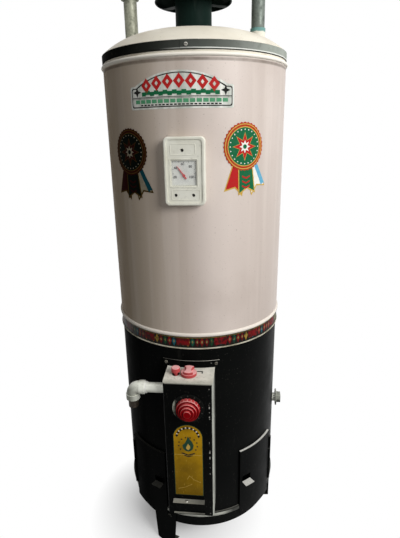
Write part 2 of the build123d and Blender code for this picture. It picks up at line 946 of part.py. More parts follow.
with BuildPart() as control_cover:
    add(folded_box(0))
    sector(
        flange_bore,
        flange_bore + cover_sheet,
        cover_z - cover_flange_bottom,
        cover_top_z + cover_flange_top,
        azimuth=-flange_half_arc,
        arc=2 * flange_half_arc,
    )
    add(folded_box(cover_sheet), mode=Mode.SUBTRACT)
    sector(
        0,
        flange_bore,
        cover_z - cover_flange_bottom - overrun,
        cover_top_z + cover_flange_top + overrun,
        mode=Mode.SUBTRACT,
    )
    for lip_z, lip_depth in ((ledge_z, ledge_depth), (hem_z, hem_depth)):
        with BuildSketch(facing(0, cover_front, lip_z)):
            with Locations((ledge_shift, -cover_sheet / 2)):
                Rectangle(ledge_width, cover_sheet)
        extrude(amount=lip_depth)
    wall_cut = cover_sheet + 2 * overrun
    left_wall = Plane(origin=(-cover_width / 2 - overrun, -valve_reach, gas_z), z_dir=(-1, 0, 0))
    drill(dial_plane(cover_front + overrun), spindle_radius + cover_sheet, wall_cut)
    drill(cock_plane(cover_top_z + overrun), cock_stem_radius + cover_sheet, wall_cut)
    drill(button_plane(cover_top_z + overrun), button_hole_radius, wall_cut)
    drill(left_wall, gas_pipe_radius + cover_sheet, wall_cut)
    for screw_side in (-1, 1):
        drill(
            facing(screw_side * screw_azimuth, flange_bore + cover_sheet + overrun, screw_z),
            cover_screw_radius / 2 + fit_gap,
            wall_cut,
        )
write(control_cover, "control_cover")

with BuildPart() as cover_screws:
    for screw_side in (-1, 1):
        seat = facing(screw_side * screw_azimuth, flange_bore + cover_sheet, screw_z)
        rod(seat, cover_screw_radius, cover_screw_head)
        head_face = cover_screws.faces().sort_by_distance(seat.offset(cover_screw_head).origin)[0]
        fillet(head_face.edges(), radius=cover_screw_head / 2)
        rod(seat, cover_screw_radius / 2, -cover_sheet)
write(cover_screws, "cover_screws")

with BuildPart() as dial_escutcheon:
    rod(dial_plane(cover_front), escutcheon_radius, escutcheon_sheet, bore=escutcheon_bore)
    fillet(dial_escutcheon.faces().sort_by(Axis.Y)[0].edges(), radius=escutcheon_edge)
write(dial_escutcheon, "dial_escutcheon")

# Gas valve: cast body with bosses and bores for the spindles and pipes
valve_front = valve_reach + valve_depth / 2
valve_back = valve_reach - valve_depth / 2
stem_depth = button_stem_sink + button_travel + fit_gap
valve_left = Plane(origin=(-valve_width / 2, -valve_reach, gas_z), z_dir=(-1, 0, 0))
valve_under = Plane(origin=(0, -valve_reach, valve_z), z_dir=(0, 0, -1))
with BuildPart() as gas_valve:
    with BuildSketch(Plane.XY.offset(valve_z)):
        with Locations((0, -valve_reach)):
            RectangleRounded(valve_width, valve_depth, valve_corner)
    extrude(amount=valve_height)
    rod(dial_plane(valve_front), valve_boss_radius, valve_boss)
    rod(valve_left, valve_boss_radius, valve_boss)
    rod(cock_plane(valve_top_z), valve_cock_boss_radius, valve_boss)
    rod(valve_under, valve_boss_radius, valve_boss)
    drill(dial_plane(valve_front + valve_boss), spindle_radius + shaft_gap, spindle_sink + fit_gap)
    drill(cock_plane(valve_top_z + valve_boss), cock_stem_radius + shaft_gap, cock_stem_sink + fit_gap)
    drill(button_plane(valve_top_z), button_stem_radius + shaft_gap, stem_depth)
    drill(valve_left.offset(valve_boss), gas_pipe_clear, gas_pipe_grip)
    drill(valve_under.offset(valve_boss), manifold_radius + fit_gap, manifold_grip)
    for lead_side, lead_radius in ((-1, pilot_tube_radius), (1, thermocouple_radius)):
        drill(
            Plane(origin=(lead_side * lead_spread, -valve_reach, valve_z), z_dir=(0, 0, -1)),
            lead_radius + fit_gap,
            manifold_grip,
        )
write(gas_valve, "gas_valve")

# Thermostat probe: shank screwed into the tank, with a sensing rod in the water
probe_root = Plane(origin=(dial_shift, -valve_back, dial_z), x_dir=(1, 0, 0), z_dir=(0, 1, 0))
probe_shank = valve_back - tank_bore
probe_length = probe_length_share * (tank_bore - flue_radius)
with BuildPart() as thermostat_probe:
    rod(probe_root, probe_shank_radius, probe_shank)
    rod(probe_root, probe_radius, probe_shank + probe_length)
write(thermostat_probe, "thermostat_probe")

# Gas supply: nipple from the valve, elbow and a short stub down
nipple_start = valve_width / 2 + valve_boss - gas_pipe_grip + fit_gap
nipple_end = elbow_reach - elbow_arm + elbow_band
with BuildPart() as gas_nipple:
    rod(
        Plane(origin=(-nipple_start, -valve_reach, gas_z), z_dir=(-1, 0, 0)),
        gas_pipe_radius,
        nipple_end - nipple_start,
        bore=gas_pipe_bore,
    )
write(gas_nipple, "gas_nipple")

elbow_mouth = Plane(origin=(-(elbow_reach - elbow_arm), -valve_reach, gas_z), z_dir=(1, 0, 0))
elbow_foot = Plane(origin=(-elbow_reach, -valve_reach, gas_z - elbow_arm), z_dir=(0, 0, -1))
elbow_bend = elbow_arm - elbow_band
with BuildPart() as gas_elbow:
    with BuildLine() as bend_path:
        ThreePointArc(
            (-(elbow_reach - elbow_bend), -valve_reach, gas_z),
            (
                -(elbow_reach - elbow_bend) - elbow_bend * sin(radians(45)),
                -valve_reach,
                gas_z - elbow_bend + elbow_bend * cos(radians(45)),
            ),
            (-elbow_reach, -valve_reach, gas_z - elbow_bend),
        )
    with BuildSketch(elbow_mouth.offset(-elbow_band)):
        Circle(elbow_body_radius)
        Circle(gas_pipe_bore, mode=Mode.SUBTRACT)
    sweep(path=bend_path.wire())
    for mouth in (elbow_mouth, elbow_foot):
        rod(mouth, elbow_band_radius, -elbow_band, bore=gas_pipe_clear)
write(gas_elbow, "gas_elbow")

with BuildPart() as gas_stub:
    stub_top = Plane(origin=(-elbow_reach, -valve_reach, gas_z - elbow_bend - fit_gap), z_dir=(0, 0, -1))
    stub_plain = stub_length - stub_thread_length
    rod(stub_top, gas_pipe_radius, stub_plain, bore=gas_pipe_bore)
    rod(stub_top.offset(stub_plain), gas_pipe_radius - thread_depth, stub_thread_length, bore=gas_pipe_bore)
write(gas_stub, "gas_stub")

with BuildPart() as thread_tape:
    rod(elbow_mouth, gas_pipe_clear + tape_thickness, tape_length, bore=gas_pipe_clear)
write(thread_tape, "thread_tape")

# Burner under the tank: domed head with ports, on a pedestal
with BuildPart() as main_burner:
    with BuildSketch(section(0)):
        with BuildLine():
            Polyline(
                (burner_radius, burner_z + burner_height - burner_dome),
                (burner_radius, burner_z),
                (0, burner_z),
                (0, burner_z + burner_height),
            )
            ThreePointArc(
                (0, burner_z + burner_height),
                (burner_radius / 2, burner_z + burner_height - burner_dome / 4),
                (burner_radius, burner_z + burner_height - burner_dome),
            )
        make_face()
    revolve(axis=Axis.Z)
    rod(facing(0, 0, manifold_z), venturi_throat + venturi_wall, burner_boss_reach)
    with BuildSketch(Plane.XY.offset(burner_z + burner_height + overrun)):
        with PolarLocations(burner_port_circle, burner_port_count):
            Circle(burner_port_radius)
    extrude(amount=-(burner_height / 2 + overrun), mode=Mode.SUBTRACT)
write(main_burner, "main_burner")

with BuildPart() as burner_pedestal:
    with BuildSketch(section(0)):
        with BuildLine():
            Polyline(
                (0, pan_top_z),
                (pedestal_foot_radius, pan_top_z),
                (pedestal_foot_radius, pan_top_z + pedestal_plate),
                (pedestal_radius, pan_top_z + 2 * pedestal_plate),
                (pedestal_radius, burner_z - 2 * pedestal_plate),
                (pedestal_foot_radius, burner_z - pedestal_plate),
                (pedestal_foot_radius, burner_z),
                (0, burner_z),
                close=True,
            )
        make_face()
    revolve(axis=Axis.Z)
write(burner_pedestal, "burner_pedestal")

# Venturi: mixing tube with a bell mouth, between the manifold and the burner
venturi_end = burner_boss_reach + venturi_length
bell_start = burner_boss_reach + venturi_length / 2
venturi_plane = Plane(origin=(0, 0, manifold_z), x_dir=(0, 0, 1), z_dir=(1, 0, 0))
with BuildPart() as burner_venturi:
    with BuildSketch(venturi_plane):
        with BuildLine():
            outer = Line(
                (venturi_throat + venturi_wall, burner_boss_reach),
                (venturi_throat + venturi_wall, bell_start),
            )
            bell = TangentArc(outer @ 1, (venturi_mouth + venturi_wall, venturi_end), tangent=outer % 1)
            inner = Line((venturi_throat, burner_boss_reach), (venturi_throat, bell_start))
            throat = TangentArc(inner @ 1, (venturi_mouth, venturi_end), tangent=inner % 1)
            Line(outer @ 0, inner @ 0)
            Line(bell @ 1, throat @ 1)
        make_face()
    revolve(axis=Axis((0, 0, manifold_z), (0, 1, 0)))
write(burner_venturi, "burner_venturi")


def lead(x, radius, bore, start_z, level, bend, end_reach, end_z):
    """Path and section of a tube from the valve down inside the cover and in under the tank."""
    points = [(x, -valve_reach, start_z), (x, -valve_reach, level), (x, -end_reach, level)]
    if end_z > level:
        points.append((x, -end_reach, end_z))
    with BuildLine() as path:
        FilletPolyline(*points, radius=bend)
    with BuildSketch(Plane(origin=points[0], z_dir=(0, 0, -1))) as ring:
        Circle(radius)
        if bore:
            Circle(bore, mode=Mode.SUBTRACT)
    sweep(ring.sketch, path=path.wire())


# Manifold, pilot tube and thermocouple
lead_z = manifold_z - lead_drop
lead_top_z = valve_z + manifold_grip - fit_gap
bracket_z = manifold_z + venturi_throat + venturi_wall
with BuildPart() as manifold_tube:
    lead(
        0,
        manifold_radius,
        manifold_radius - manifold_wall,
        lead_top_z - valve_boss,
        manifold_z,
        manifold_bend,
        manifold_tip_reach,
        manifold_z,
    )
write(manifold_tube, "manifold_tube")

with BuildPart() as pilot_tube:
    lead(
        -lead_spread,
        pilot_tube_radius,
        0,
        lead_top_z,
        lead_z,
        lead_bend,
        pilot_reach,
        bracket_z - fit_gap,
    )
write(pilot_tube, "pilot_tube")

with BuildPart() as thermocouple:
    lead(
        lead_spread,
        thermocouple_radius,
        0,
        lead_top_z,
        lead_z,
        lead_bend,
        pilot_reach,
        bracket_z,
    )
    rod(upright(lead_spread, -pilot_reach, bracket_z), tip_radius, tip_length)
    fillet(thermocouple.faces().sort_by(Axis.Z)[-1].edges().sort_by(Axis.Z)[-1], radius=tip_radius / 2)
write(thermocouple, "thermocouple")

# Bracket on the venturi that holds the pilot head and the thermocouple's tip
with BuildPart() as pilot_bracket:
    with BuildSketch(Plane.XY.offset(bracket_z)):
        with Locations((0, -pilot_reach)):
            RectangleRounded(bracket_width, bracket_depth, bracket_corner)
        with Locations((-lead_spread, -pilot_reach)):
            Circle(pilot_head_radius + fit_gap, mode=Mode.SUBTRACT)
        with Locations((lead_spread, -pilot_reach)):
            Circle(tip_radius + fit_gap, mode=Mode.SUBTRACT)
    extrude(amount=bracket_sheet)
write(pilot_bracket, "pilot_bracket")

with BuildPart() as pilot_burner:
    rod(upright(-lead_spread, -pilot_reach, bracket_z), pilot_head_radius, pilot_head_length)
write(pilot_burner, "pilot_burner")

# Burner access doors: curved pans with a lanced pull tab, on lift-off pin hinges
hinge_low_z = bead_top_z + hinge_foot_gap
hinge_high_z = door_top_z - hinge_margin
knuckle_z = (hinge_low_z + hinge_high_z - knuckle_length) / 2
knuckle_arc = degrees((knuckle_radius + 2 * fit_gap + door_sheet) / hinge_reach)
door_last = door_hinge_angle - knuckle_arc
tab_z = base_z + tab_rise


def hinge_plane(side, height):
    """Plane that faces up on a door's hinge line."""
    return upright(*polar(hinge_reach, door_middle_angle + side * door_hinge_angle), height)


def make_door(side):
    """Door with turned edges, a window above its tab and a middle knuckle."""
    with BuildPart() as door:
        sector(door_bore, door_radius, door_z, door_top_z, **door_arc(side, door_free_angle, door_last))
        sector(
            skirt_radius + fit_gap * 2,
            door_radius,
            door_top_z - door_sheet,
            door_top_z,
            **door_arc(side, door_free_angle, door_last),
        )
        sector(
            skirt_radius + fit_gap * 2,
            door_radius,
            bead_top_z + fit_gap * 2,
            door_top_z,
            **door_arc(side, door_free_angle, door_free_angle + door_edge_angle),
        )
        sector(
            door_bore,
            door_radius,
            knuckle_z,
            knuckle_z + knuckle_length,
            **door_arc(side, door_last, door_hinge_angle),
        )
        rod(hinge_plane(side, knuckle_z), knuckle_radius, knuckle_length)
        drill(
            hinge_plane(side, knuckle_z + knuckle_length + overrun),
            hinge_radius + shaft_gap,
            knuckle_length + 2 * overrun,
        )
        sector(
            door_bore - overrun,
            door_radius + overrun,
            tab_z,
            tab_z + tab_window,
            mode=Mode.SUBTRACT,
            **door_arc(side, tab_start_angle, tab_end_angle),
        )
        sector(
            door_bore,
            door_bore + tab_depth,
            tab_z - door_sheet,
            tab_z,
            **door_arc(side, tab_start_angle, tab_end_angle),
        )
    return door


for door_name, door_side in (("left", -1), ("right", 1)):
    write(make_door(door_side), f"{door_name}_door")

# Hinge leaves on the skirt, each with an upper and a lower knuckle, and their pins
leaf_bore = skirt_radius + fit_gap
web_arc = degrees(hinge_web / hinge_reach)
with BuildPart() as door_hinges:
    for door_side in (-1, 1):
        sector(
            leaf_bore,
            leaf_bore + hinge_leaf_sheet,
            hinge_low_z,
            hinge_high_z,
            **door_arc(door_side, door_hinge_angle, door_hinge_angle + hinge_leaf_angle),
        )
        for low, high in (
            (hinge_low_z, knuckle_z - fit_gap),
            (knuckle_z + knuckle_length + fit_gap, hinge_high_z),
        ):
            sector(
                leaf_bore,
                hinge_reach,
                low,
                high,
                **door_arc(door_side, door_hinge_angle, door_hinge_angle + web_arc),
            )
            rod(hinge_plane(door_side, low), knuckle_radius, high - low)
            drill(hinge_plane(door_side, high + overrun), hinge_radius + fit_gap, high - low + 2 * overrun)
write(door_hinges, "door_hinges")

with BuildPart() as hinge_pins:
    for door_side in (-1, 1):
        rod(hinge_plane(door_side, hinge_low_z), hinge_radius, hinge_high_z - hinge_low_z)
        rod(hinge_plane(door_side, hinge_high_z), knuckle_radius, hinge_web)
write(hinge_pins, "hinge_pins")

# Thermometer: moulded bezel with a stepped frame, face, glass and needle
gauge_front = shell_radius + gauge_proud
gauge_depth = gauge_front - shell_radius * cos(asin(gauge_width / 2 / shell_radius))
gauge_plane = facing(0, gauge_front, gauge_z)
window_middle = (
    gauge_window_left + gauge_window_width / 2 - gauge_width / 2,
    gauge_height / 2 - gauge_window_top - gauge_window_height / 2,
)
needle_place = (needle_left - gauge_width / 2, gauge_height / 2 - needle_top)
glass_floor = gauge_glass_depth + gauge_glass
with BuildPart() as thermometer_bezel:
    with BuildSketch(gauge_plane):
        RectangleRounded(gauge_width, gauge_height, gauge_corner)
    extrude(amount=-gauge_depth)
    fillet(thermometer_bezel.faces().sort_by(Axis.Y)[0].edges(), radius=gauge_edge)
    with BuildSketch(gauge_plane):
        RectangleRounded(
            gauge_width - 2 * gauge_step,
            gauge_height - 2 * gauge_step,
            gauge_corner - gauge_step / 2,
        )
    extrude(amount=-gauge_step_depth, mode=Mode.SUBTRACT)
    sector(
        0,
        shell_radius + fit_gap,
        gauge_z - gauge_height,
        gauge_z + gauge_height,
        mode=Mode.SUBTRACT,
    )
    with BuildSketch(gauge_plane):
        with Locations(window_middle):
            Rectangle(gauge_window_width, gauge_window_height)
    extrude(amount=-glass_floor, mode=Mode.SUBTRACT)
    with BuildSketch(gauge_plane):
        with Locations(window_middle):
            Rectangle(gauge_window_width - 2 * gauge_rebate, gauge_window_height - 2 * gauge_rebate)
    extrude(amount=-gauge_pocket, mode=Mode.SUBTRACT)
    with BuildSketch(gauge_plane):
        with Locations(needle_place):
            Circle(needle_pin_radius + shaft_gap)
    extrude(amount=-(gauge_pocket + needle_pin_length), mode=Mode.SUBTRACT)
    for hole_left, hole_top in gauge_holes:
        with BuildSketch(gauge_plane):
            with Locations((hole_left - gauge_width / 2, gauge_height / 2 - hole_top)):
                Circle(gauge_hole_radius)
        extrude(amount=-(gauge_step_depth + gauge_hole_depth), mode=Mode.SUBTRACT)
write(thermometer_bezel, "thermometer_bezel")

with BuildPart() as thermometer_screws:
    for hole_left, hole_top in gauge_holes:
        with BuildSketch(gauge_plane.offset(-(gauge_step_depth + gauge_hole_depth))):
            with Locations((hole_left - gauge_width / 2, gauge_height / 2 - hole_top)):
                Circle(gauge_hole_radius - fit_gap)
        extrude(amount=gauge_screw_height)
write(thermometer_screws, "thermometer_screws")

with BuildPart() as thermometer_face:
    with BuildSketch(gauge_plane.offset(-gauge_pocket)):
        with Locations(window_middle):
            Rectangle(
                gauge_window_width - 2 * gauge_rebate - 2 * fit_gap,
                gauge_window_height - 2 * gauge_rebate - 2 * fit_gap,
            )
        with Locations(needle_place):
            Circle(needle_pin_radius + fit_gap, mode=Mode.SUBTRACT)
    extrude(amount=gauge_face)
write(thermometer_face, "thermometer_face")

with BuildPart() as thermometer_glass:
    with BuildSketch(gauge_plane.offset(-glass_floor)):
        with Locations(window_middle):
            Rectangle(gauge_window_width - 2 * fit_gap, gauge_window_height - 2 * fit_gap)
    extrude(amount=gauge_glass)
write(thermometer_glass, "thermometer_glass")

needle_level = gauge_pocket - gauge_face - needle_lift
needle_plane = Plane(
    origin=gauge_plane.from_local_coords((*needle_place, -needle_level)),
    x_dir=(cos(radians(needle_lean_angle)), 0, sin(radians(needle_lean_angle))),
    z_dir=gauge_plane.z_dir,
)
with BuildPart() as thermometer_needle:
    with BuildSketch(needle_plane):
        with BuildLine():
            Polyline(
                (-needle_width / 2, -needle_tail),
                (needle_width / 2, -needle_tail),
                (needle_width / 2, 0),
                (needle_width / 6, needle_length),
                (-needle_width / 6, needle_length),
                (-needle_width / 2, 0),
                close=True,
            )
        make_face()
        Circle(needle_hub_radius)
    extrude(amount=needle_sheet)
    rod(needle_plane, needle_pin_radius, -(needle_lift + gauge_face + needle_pin_length - fit_gap))
write(thermometer_needle, "thermometer_needle")

with BuildPart() as thermometer_stem:
    rod(facing(0, shell_radius, gauge_z), stem_radius, -(shell_radius - tank_radius - fit_gap))
write(thermometer_stem, "thermometer_stem")

# Temperature dial: stepped knob with a fluted rim, on its spindle
dial_face = cover_front + escutcheon_sheet + dial_lift
spindle_tip = dial_face + spindle_grip
spindle_foot = valve_front + valve_boss - spindle_sink
dial_profile = Plane(origin=(dial_shift, -dial_face, dial_z), x_dir=(1, 0, 0), z_dir=(0, 0, 1))
dial_slope = dial_step_slope_share * dial_radius
dial_points = []
for step, (radius_share, depth_share) in enumerate(zip(dial_step_radius_shares, dial_step_depth_shares)):
    step_radius = radius_share * dial_radius
    below = dial_step_depth_shares[step - 1] * dial_depth if step else 0
    dial_points.append((step_radius, -below))
    dial_points.append((step_radius - dial_slope, -depth_share * dial_depth))
with BuildPart() as temperature_dial:
    with BuildSketch(dial_profile):
        with BuildLine():
            Polyline((0, 0), *dial_points, (0, -dial_depth), close=True)
        make_face()
    revolve(axis=Axis((dial_shift, -dial_face, dial_z), (0, 1, 0)))
    with BuildSketch(dial_plane(dial_face)):
        with PolarLocations(dial_radius, dial_grip_count):
            Circle(dial_grip_radius)
    extrude(amount=dial_step_depth_shares[0] * dial_depth, mode=Mode.SUBTRACT)
    rod(dial_plane(dial_face), spindle_radius + shaft_gap, spindle_grip, mode=Mode.SUBTRACT)
write(temperature_dial, "temperature_dial")

with BuildPart() as dial_spindle:
    rod(dial_plane(spindle_foot), spindle_radius, spindle_tip - spindle_foot - fit_gap)
write(dial_spindle, "dial_spindle")

# Gas cock knob: round base with a finger bar between two scooped sides
cock_z = cover_top_z + cock_lift
cock_foot_z = valve_top_z + valve_boss - cock_stem_sink
with BuildPart() as gas_cock_knob:
    rod(cock_plane(cock_z), cock_radius, cock_base)
    fillet(gas_cock_knob.faces().sort_by(Axis.Z)[-1].edges(), radius=cock_edge)
    with BuildSketch(Plane.XY.offset(cock_z + cock_base)):
        with Locations((cock_shift, -valve_reach)):
            Circle(cock_radius - cock_edge)
            for side in (-1, 1):
                with Locations((side * (cock_radius + cock_bar_width / 2), 0)):
                    Circle(cock_radius, mode=Mode.SUBTRACT)
    extrude(amount=cock_height - cock_base)
    fillet(gas_cock_knob.faces().sort_by(Axis.Z)[-1].edges(), radius=cock_edge)
    rod(cock_plane(cock_z), cock_stem_radius + shaft_gap, cock_stem_grip, mode=Mode.SUBTRACT)
write(gas_cock_knob, "gas_cock_knob")

with BuildPart() as gas_cock_stem:
    rod(cock_plane(cock_foot_z), cock_stem_radius, cock_z + cock_stem_grip - fit_gap - cock_foot_z)
write(gas_cock_stem, "gas_cock_stem")

# Reset button: mushroom cap on a stem that slides into the valve
button_z = cover_top_z + button_travel + button_lift
with BuildPart() as reset_button:
    rod(button_plane(button_z), button_radius, button_cap)
    fillet(reset_button.faces().sort_by(Axis.Z)[-1].edges(), radius=button_cap_edge)
    rod(button_plane(button_z), button_stem_radius, -(button_z - valve_top_z + button_stem_sink))
write(reset_button, "reset_button")
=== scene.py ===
import json
from math import asin, atan2, cos, degrees, pi, radians, sin, tau

import bmesh
import bpy
from mathutils import Matrix, Vector


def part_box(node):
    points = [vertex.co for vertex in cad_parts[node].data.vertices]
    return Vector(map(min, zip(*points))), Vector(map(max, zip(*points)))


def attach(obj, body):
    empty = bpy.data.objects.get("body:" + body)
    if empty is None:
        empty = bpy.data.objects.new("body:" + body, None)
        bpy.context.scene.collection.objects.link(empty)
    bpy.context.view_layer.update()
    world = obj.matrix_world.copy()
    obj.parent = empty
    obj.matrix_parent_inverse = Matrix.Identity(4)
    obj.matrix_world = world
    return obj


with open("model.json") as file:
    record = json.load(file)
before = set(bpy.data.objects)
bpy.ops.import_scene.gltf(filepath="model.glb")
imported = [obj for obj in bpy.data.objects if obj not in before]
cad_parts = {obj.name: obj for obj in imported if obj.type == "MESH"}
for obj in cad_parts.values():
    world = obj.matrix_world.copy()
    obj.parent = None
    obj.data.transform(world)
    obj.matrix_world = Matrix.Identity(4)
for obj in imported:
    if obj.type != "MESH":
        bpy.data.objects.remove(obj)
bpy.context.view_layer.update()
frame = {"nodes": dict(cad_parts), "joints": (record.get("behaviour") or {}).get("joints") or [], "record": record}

# Looks of a floor-standing gas storage water heater. Metres, +Z up, front towards -Y.

nodes = frame["nodes"]
MM = 0.001

# Places read from the frame
shell_radius = -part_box("thermometer_stem")[0].y
skirt_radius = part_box("skirt")[1].x
shell_low_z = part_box("upper_shell")[0].z
shell_top_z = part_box("upper_shell")[1].z
trim_low_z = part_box("trim_strip")[0].z
skirt_low_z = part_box("skirt")[0].z
cover_front_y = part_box("dial_escutcheon")[1].y
escutcheon_front_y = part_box("dial_escutcheon")[0].y
cover_top_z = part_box("gas_cock_knob")[0].z - 0.8 * MM
flue_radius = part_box("flue_tube")[1].x
lid_top_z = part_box("lid")[1].z
hood_low_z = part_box("draft_hood")[0].z
hood_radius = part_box("draft_hood")[1].x
gauge_low, gauge_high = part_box("thermometer_bezel")
gauge_face_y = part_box("thermometer_face")[0].y
joints = {joint["name"]: joint for joint in frame["joints"]}
needle_pivot = Vector(joints["needle_swing"]["pos_m"])
dial_centre = Vector(joints["dial_turn"]["pos_m"])

# Drawings are cut into strips of this width, and upright turns their plane towards the front.
# Hinges stand to both sides of the doors' middle, in degrees.
strip_width = 5 * MM
upright = Matrix.Rotation(pi / 2, 4, "X")
control_azimuth, hinge_azimuth = 6.45, 66

# Camera, fitted to the seams of the drum in the photo
camera_place = Vector((104.8, -967.8, 986.2)) * MM
camera_yaw = radians(-5.97)
camera_pitch = radians(17.636)
camera_roll = radians(1.054)
camera_lens = 28.0
camera_sensor = 36.0

# Surroundings: floor, its shadow, and what light the white world and floor give besides being seen
floor_half = 40.0
shadow_middle = (-0.065, -0.055, 0)
shadow_full, shadow_gone = 0.03, 0.24
world_light, floor_light = 0.15, 0.22

# Lamps: name, place, target, size and power
lamps = (
    ("key", (1.75, -1.55, 1.9), (0, 0, 0.75), 1.3, 58),
    ("top", (0.3, -0.4, 3.0), (0, 0, 1.0), 1.2, 11),
    ("side", (2.0, 0.7, 1.2), (0.1, 0, 0.7), 1.0, 8),
)


def rgb(red, green, blue):
    """Colour on the usual 0 to 255 scale, as the linear values that a shader takes."""
    shares = (red / 255, green / 255, blue / 255)
    linear = [s / 12.92 if s <= 0.04045 else ((s + 0.055) / 1.055) ** 2.4 for s in shares]
    return (*linear, 1.0)


def shade(colour, share):
    """Darker shade of a colour."""
    return (*(share * channel for channel in colour[:3]), 1.0)


class Paint:
    """One procedural material, built node by node around a Principled shader."""

    def __init__(self, name):
        self.material = bpy.data.materials.new(name)
        self.material.use_nodes = True
        self.tree = self.material.node_tree
        self.shader = self.tree.nodes["Principled BSDF"]
        self.place = self.add("ShaderNodeTexCoord").outputs["Object"]

    def add(self, kind, **settings):
        node = self.tree.nodes.new(kind)
        for key, value in settings.items():
            setattr(node, key, value)
        return node

    def feed(self, socket, value):
        if isinstance(value, bpy.types.NodeSocket):
            self.tree.links.new(value, socket)
        else:
            socket.default_value = value

    def noise(self, scale, detail, stretch=(1, 1, 1)):
        mapping = self.add("ShaderNodeMapping")
        self.feed(mapping.inputs["Vector"], self.place)
        mapping.inputs["Scale"].default_value = stretch
        texture = self.add("ShaderNodeTexNoise")
        self.feed(texture.inputs["Vector"], mapping.outputs["Vector"])
        texture.inputs["Scale"].default_value = scale
        texture.inputs["Detail"].default_value = detail
        return texture.outputs["Fac"]

    def cells(self, scale):
        texture = self.add("ShaderNodeTexVoronoi")
        self.feed(texture.inputs["Vector"], self.place)
        texture.inputs["Scale"].default_value = scale
        return texture.outputs["Distance"]

    def spread(self, value, low, high, to_low=0.0, to_high=1.0):
        node = self.add("ShaderNodeMapRange")
        self.feed(node.inputs["Value"], value)
        ends = {"From Min": low, "From Max": high, "To Min": to_low, "To Max": to_high}
        for name, end in ends.items():
            node.inputs[name].default_value = end
        return node.outputs["Result"]

    def patches(self, scale, detail, low, high, to_low=0.0, to_high=1.0, stretch=(1, 1, 1)):
        """Noise, spread between two of its values."""
        return self.spread(self.noise(scale, detail, stretch), low, high, to_low, to_high)

    def calc(self, operation, first, second=0.0):
        node = self.add("ShaderNodeMath", operation=operation)
        self.feed(node.inputs[0], first)
        self.feed(node.inputs[1], second)
        return node.outputs[0]

    def times(self, first, second):
        return self.calc("MULTIPLY", first, second)

    def axis(self, name, vector=None):
        """One coordinate of a vector, or else of the place on the object."""
        node = self.add("ShaderNodeSeparateXYZ")
        self.feed(node.inputs[0], vector or self.place)
        return node.outputs[name]

    def along(self, name, low, high, to_low=0.0, to_high=1.0):
        """Spread of a coordinate between two places."""
        return self.spread(self.axis(name), low, high, to_low, to_high)

    def band(self, name, low, high, soft):
        """1 where a coordinate lies between two values, fading over a soft edge."""
        return self.times(self.along(name, low - soft, low), self.along(name, high + soft, high))

    def upward(self, start=0.25, full=0.8):
        """1 on surfaces that face up, for dust and for painted light from above."""
        normal = self.add("ShaderNodeNewGeometry").outputs["Normal"]
        return self.spread(self.axis("Z", normal), start, full)

    def gloss(self, dull, clean):
        """Specular level, lower towards the left-hand side."""
        return self.along("X", -0.12, 0.06, dull, clean)

    def mix(self, factor, first, second):
        node = self.add("ShaderNodeMix", data_type="RGBA")
        self.feed(node.inputs[0], factor)
        self.feed(node.inputs[6], first)
        self.feed(node.inputs[7], second)
        return node.outputs[2]

    def steps(self, value, colours):
        """Hard bands of colour along a value from 0 to 1."""
        node = self.add("ShaderNodeValToRGB")
        node.color_ramp.interpolation = "CONSTANT"
        elements = node.color_ramp.elements
        while len(elements) < len(colours):
            elements.new(0.5)
        for index, colour in enumerate(colours):
            elements[index].position = index / len(colours)
            elements[index].color = colour
        self.feed(node.inputs["Fac"], value)
        return node.outputs["Color"]

    def ground(self, share, first, second):
        """Starts the field of colour with two tones."""
        self.field = self.mix(share, first, second)

    def clouds(self, scale, detail, low, high, first, second, stretch=(1, 1, 1)):
        """Starts the field with two tones that change in patches of noise."""
        self.ground(self.patches(scale, detail, low, high, stretch=stretch), first, second)

    def over(self, share, colour):
        """Lays a colour over the field."""
        self.field = self.mix(share, self.field, colour)

    def mottle(self, scale, detail, low, high, most, colour, stretch=(1, 1, 1)):
        """Lays a colour over the field in patches of noise, up to a greatest share."""
        self.over(self.patches(scale, detail, low, high, 0, most, stretch), colour)

    def finish(self, roughness, metallic=0.0, specular=0.5, bump=None, depth=0.0002):
        """Ties up the shader. Roughness may be noise of a scale, detail, least and most; bump is noise."""
        if isinstance(roughness, tuple):
            scale, detail, least, most = roughness
            roughness = self.patches(scale, detail, 0.3, 0.7, least, most)
        self.feed(self.shader.inputs["Base Color"], self.field)
        self.feed(self.shader.inputs["Roughness"], roughness)
        self.shader.inputs["Metallic"].default_value = metallic
        self.feed(self.shader.inputs["Specular IOR Level"], specular)
        if bump:
            node = self.add("ShaderNodeBump")
            node.inputs["Distance"].default_value = depth
            self.feed(node.inputs["Height"], self.noise(*bump))
            self.feed(self.shader.inputs["Normal"], node.outputs["Normal"])
        return self.material


# Materials of the jacket


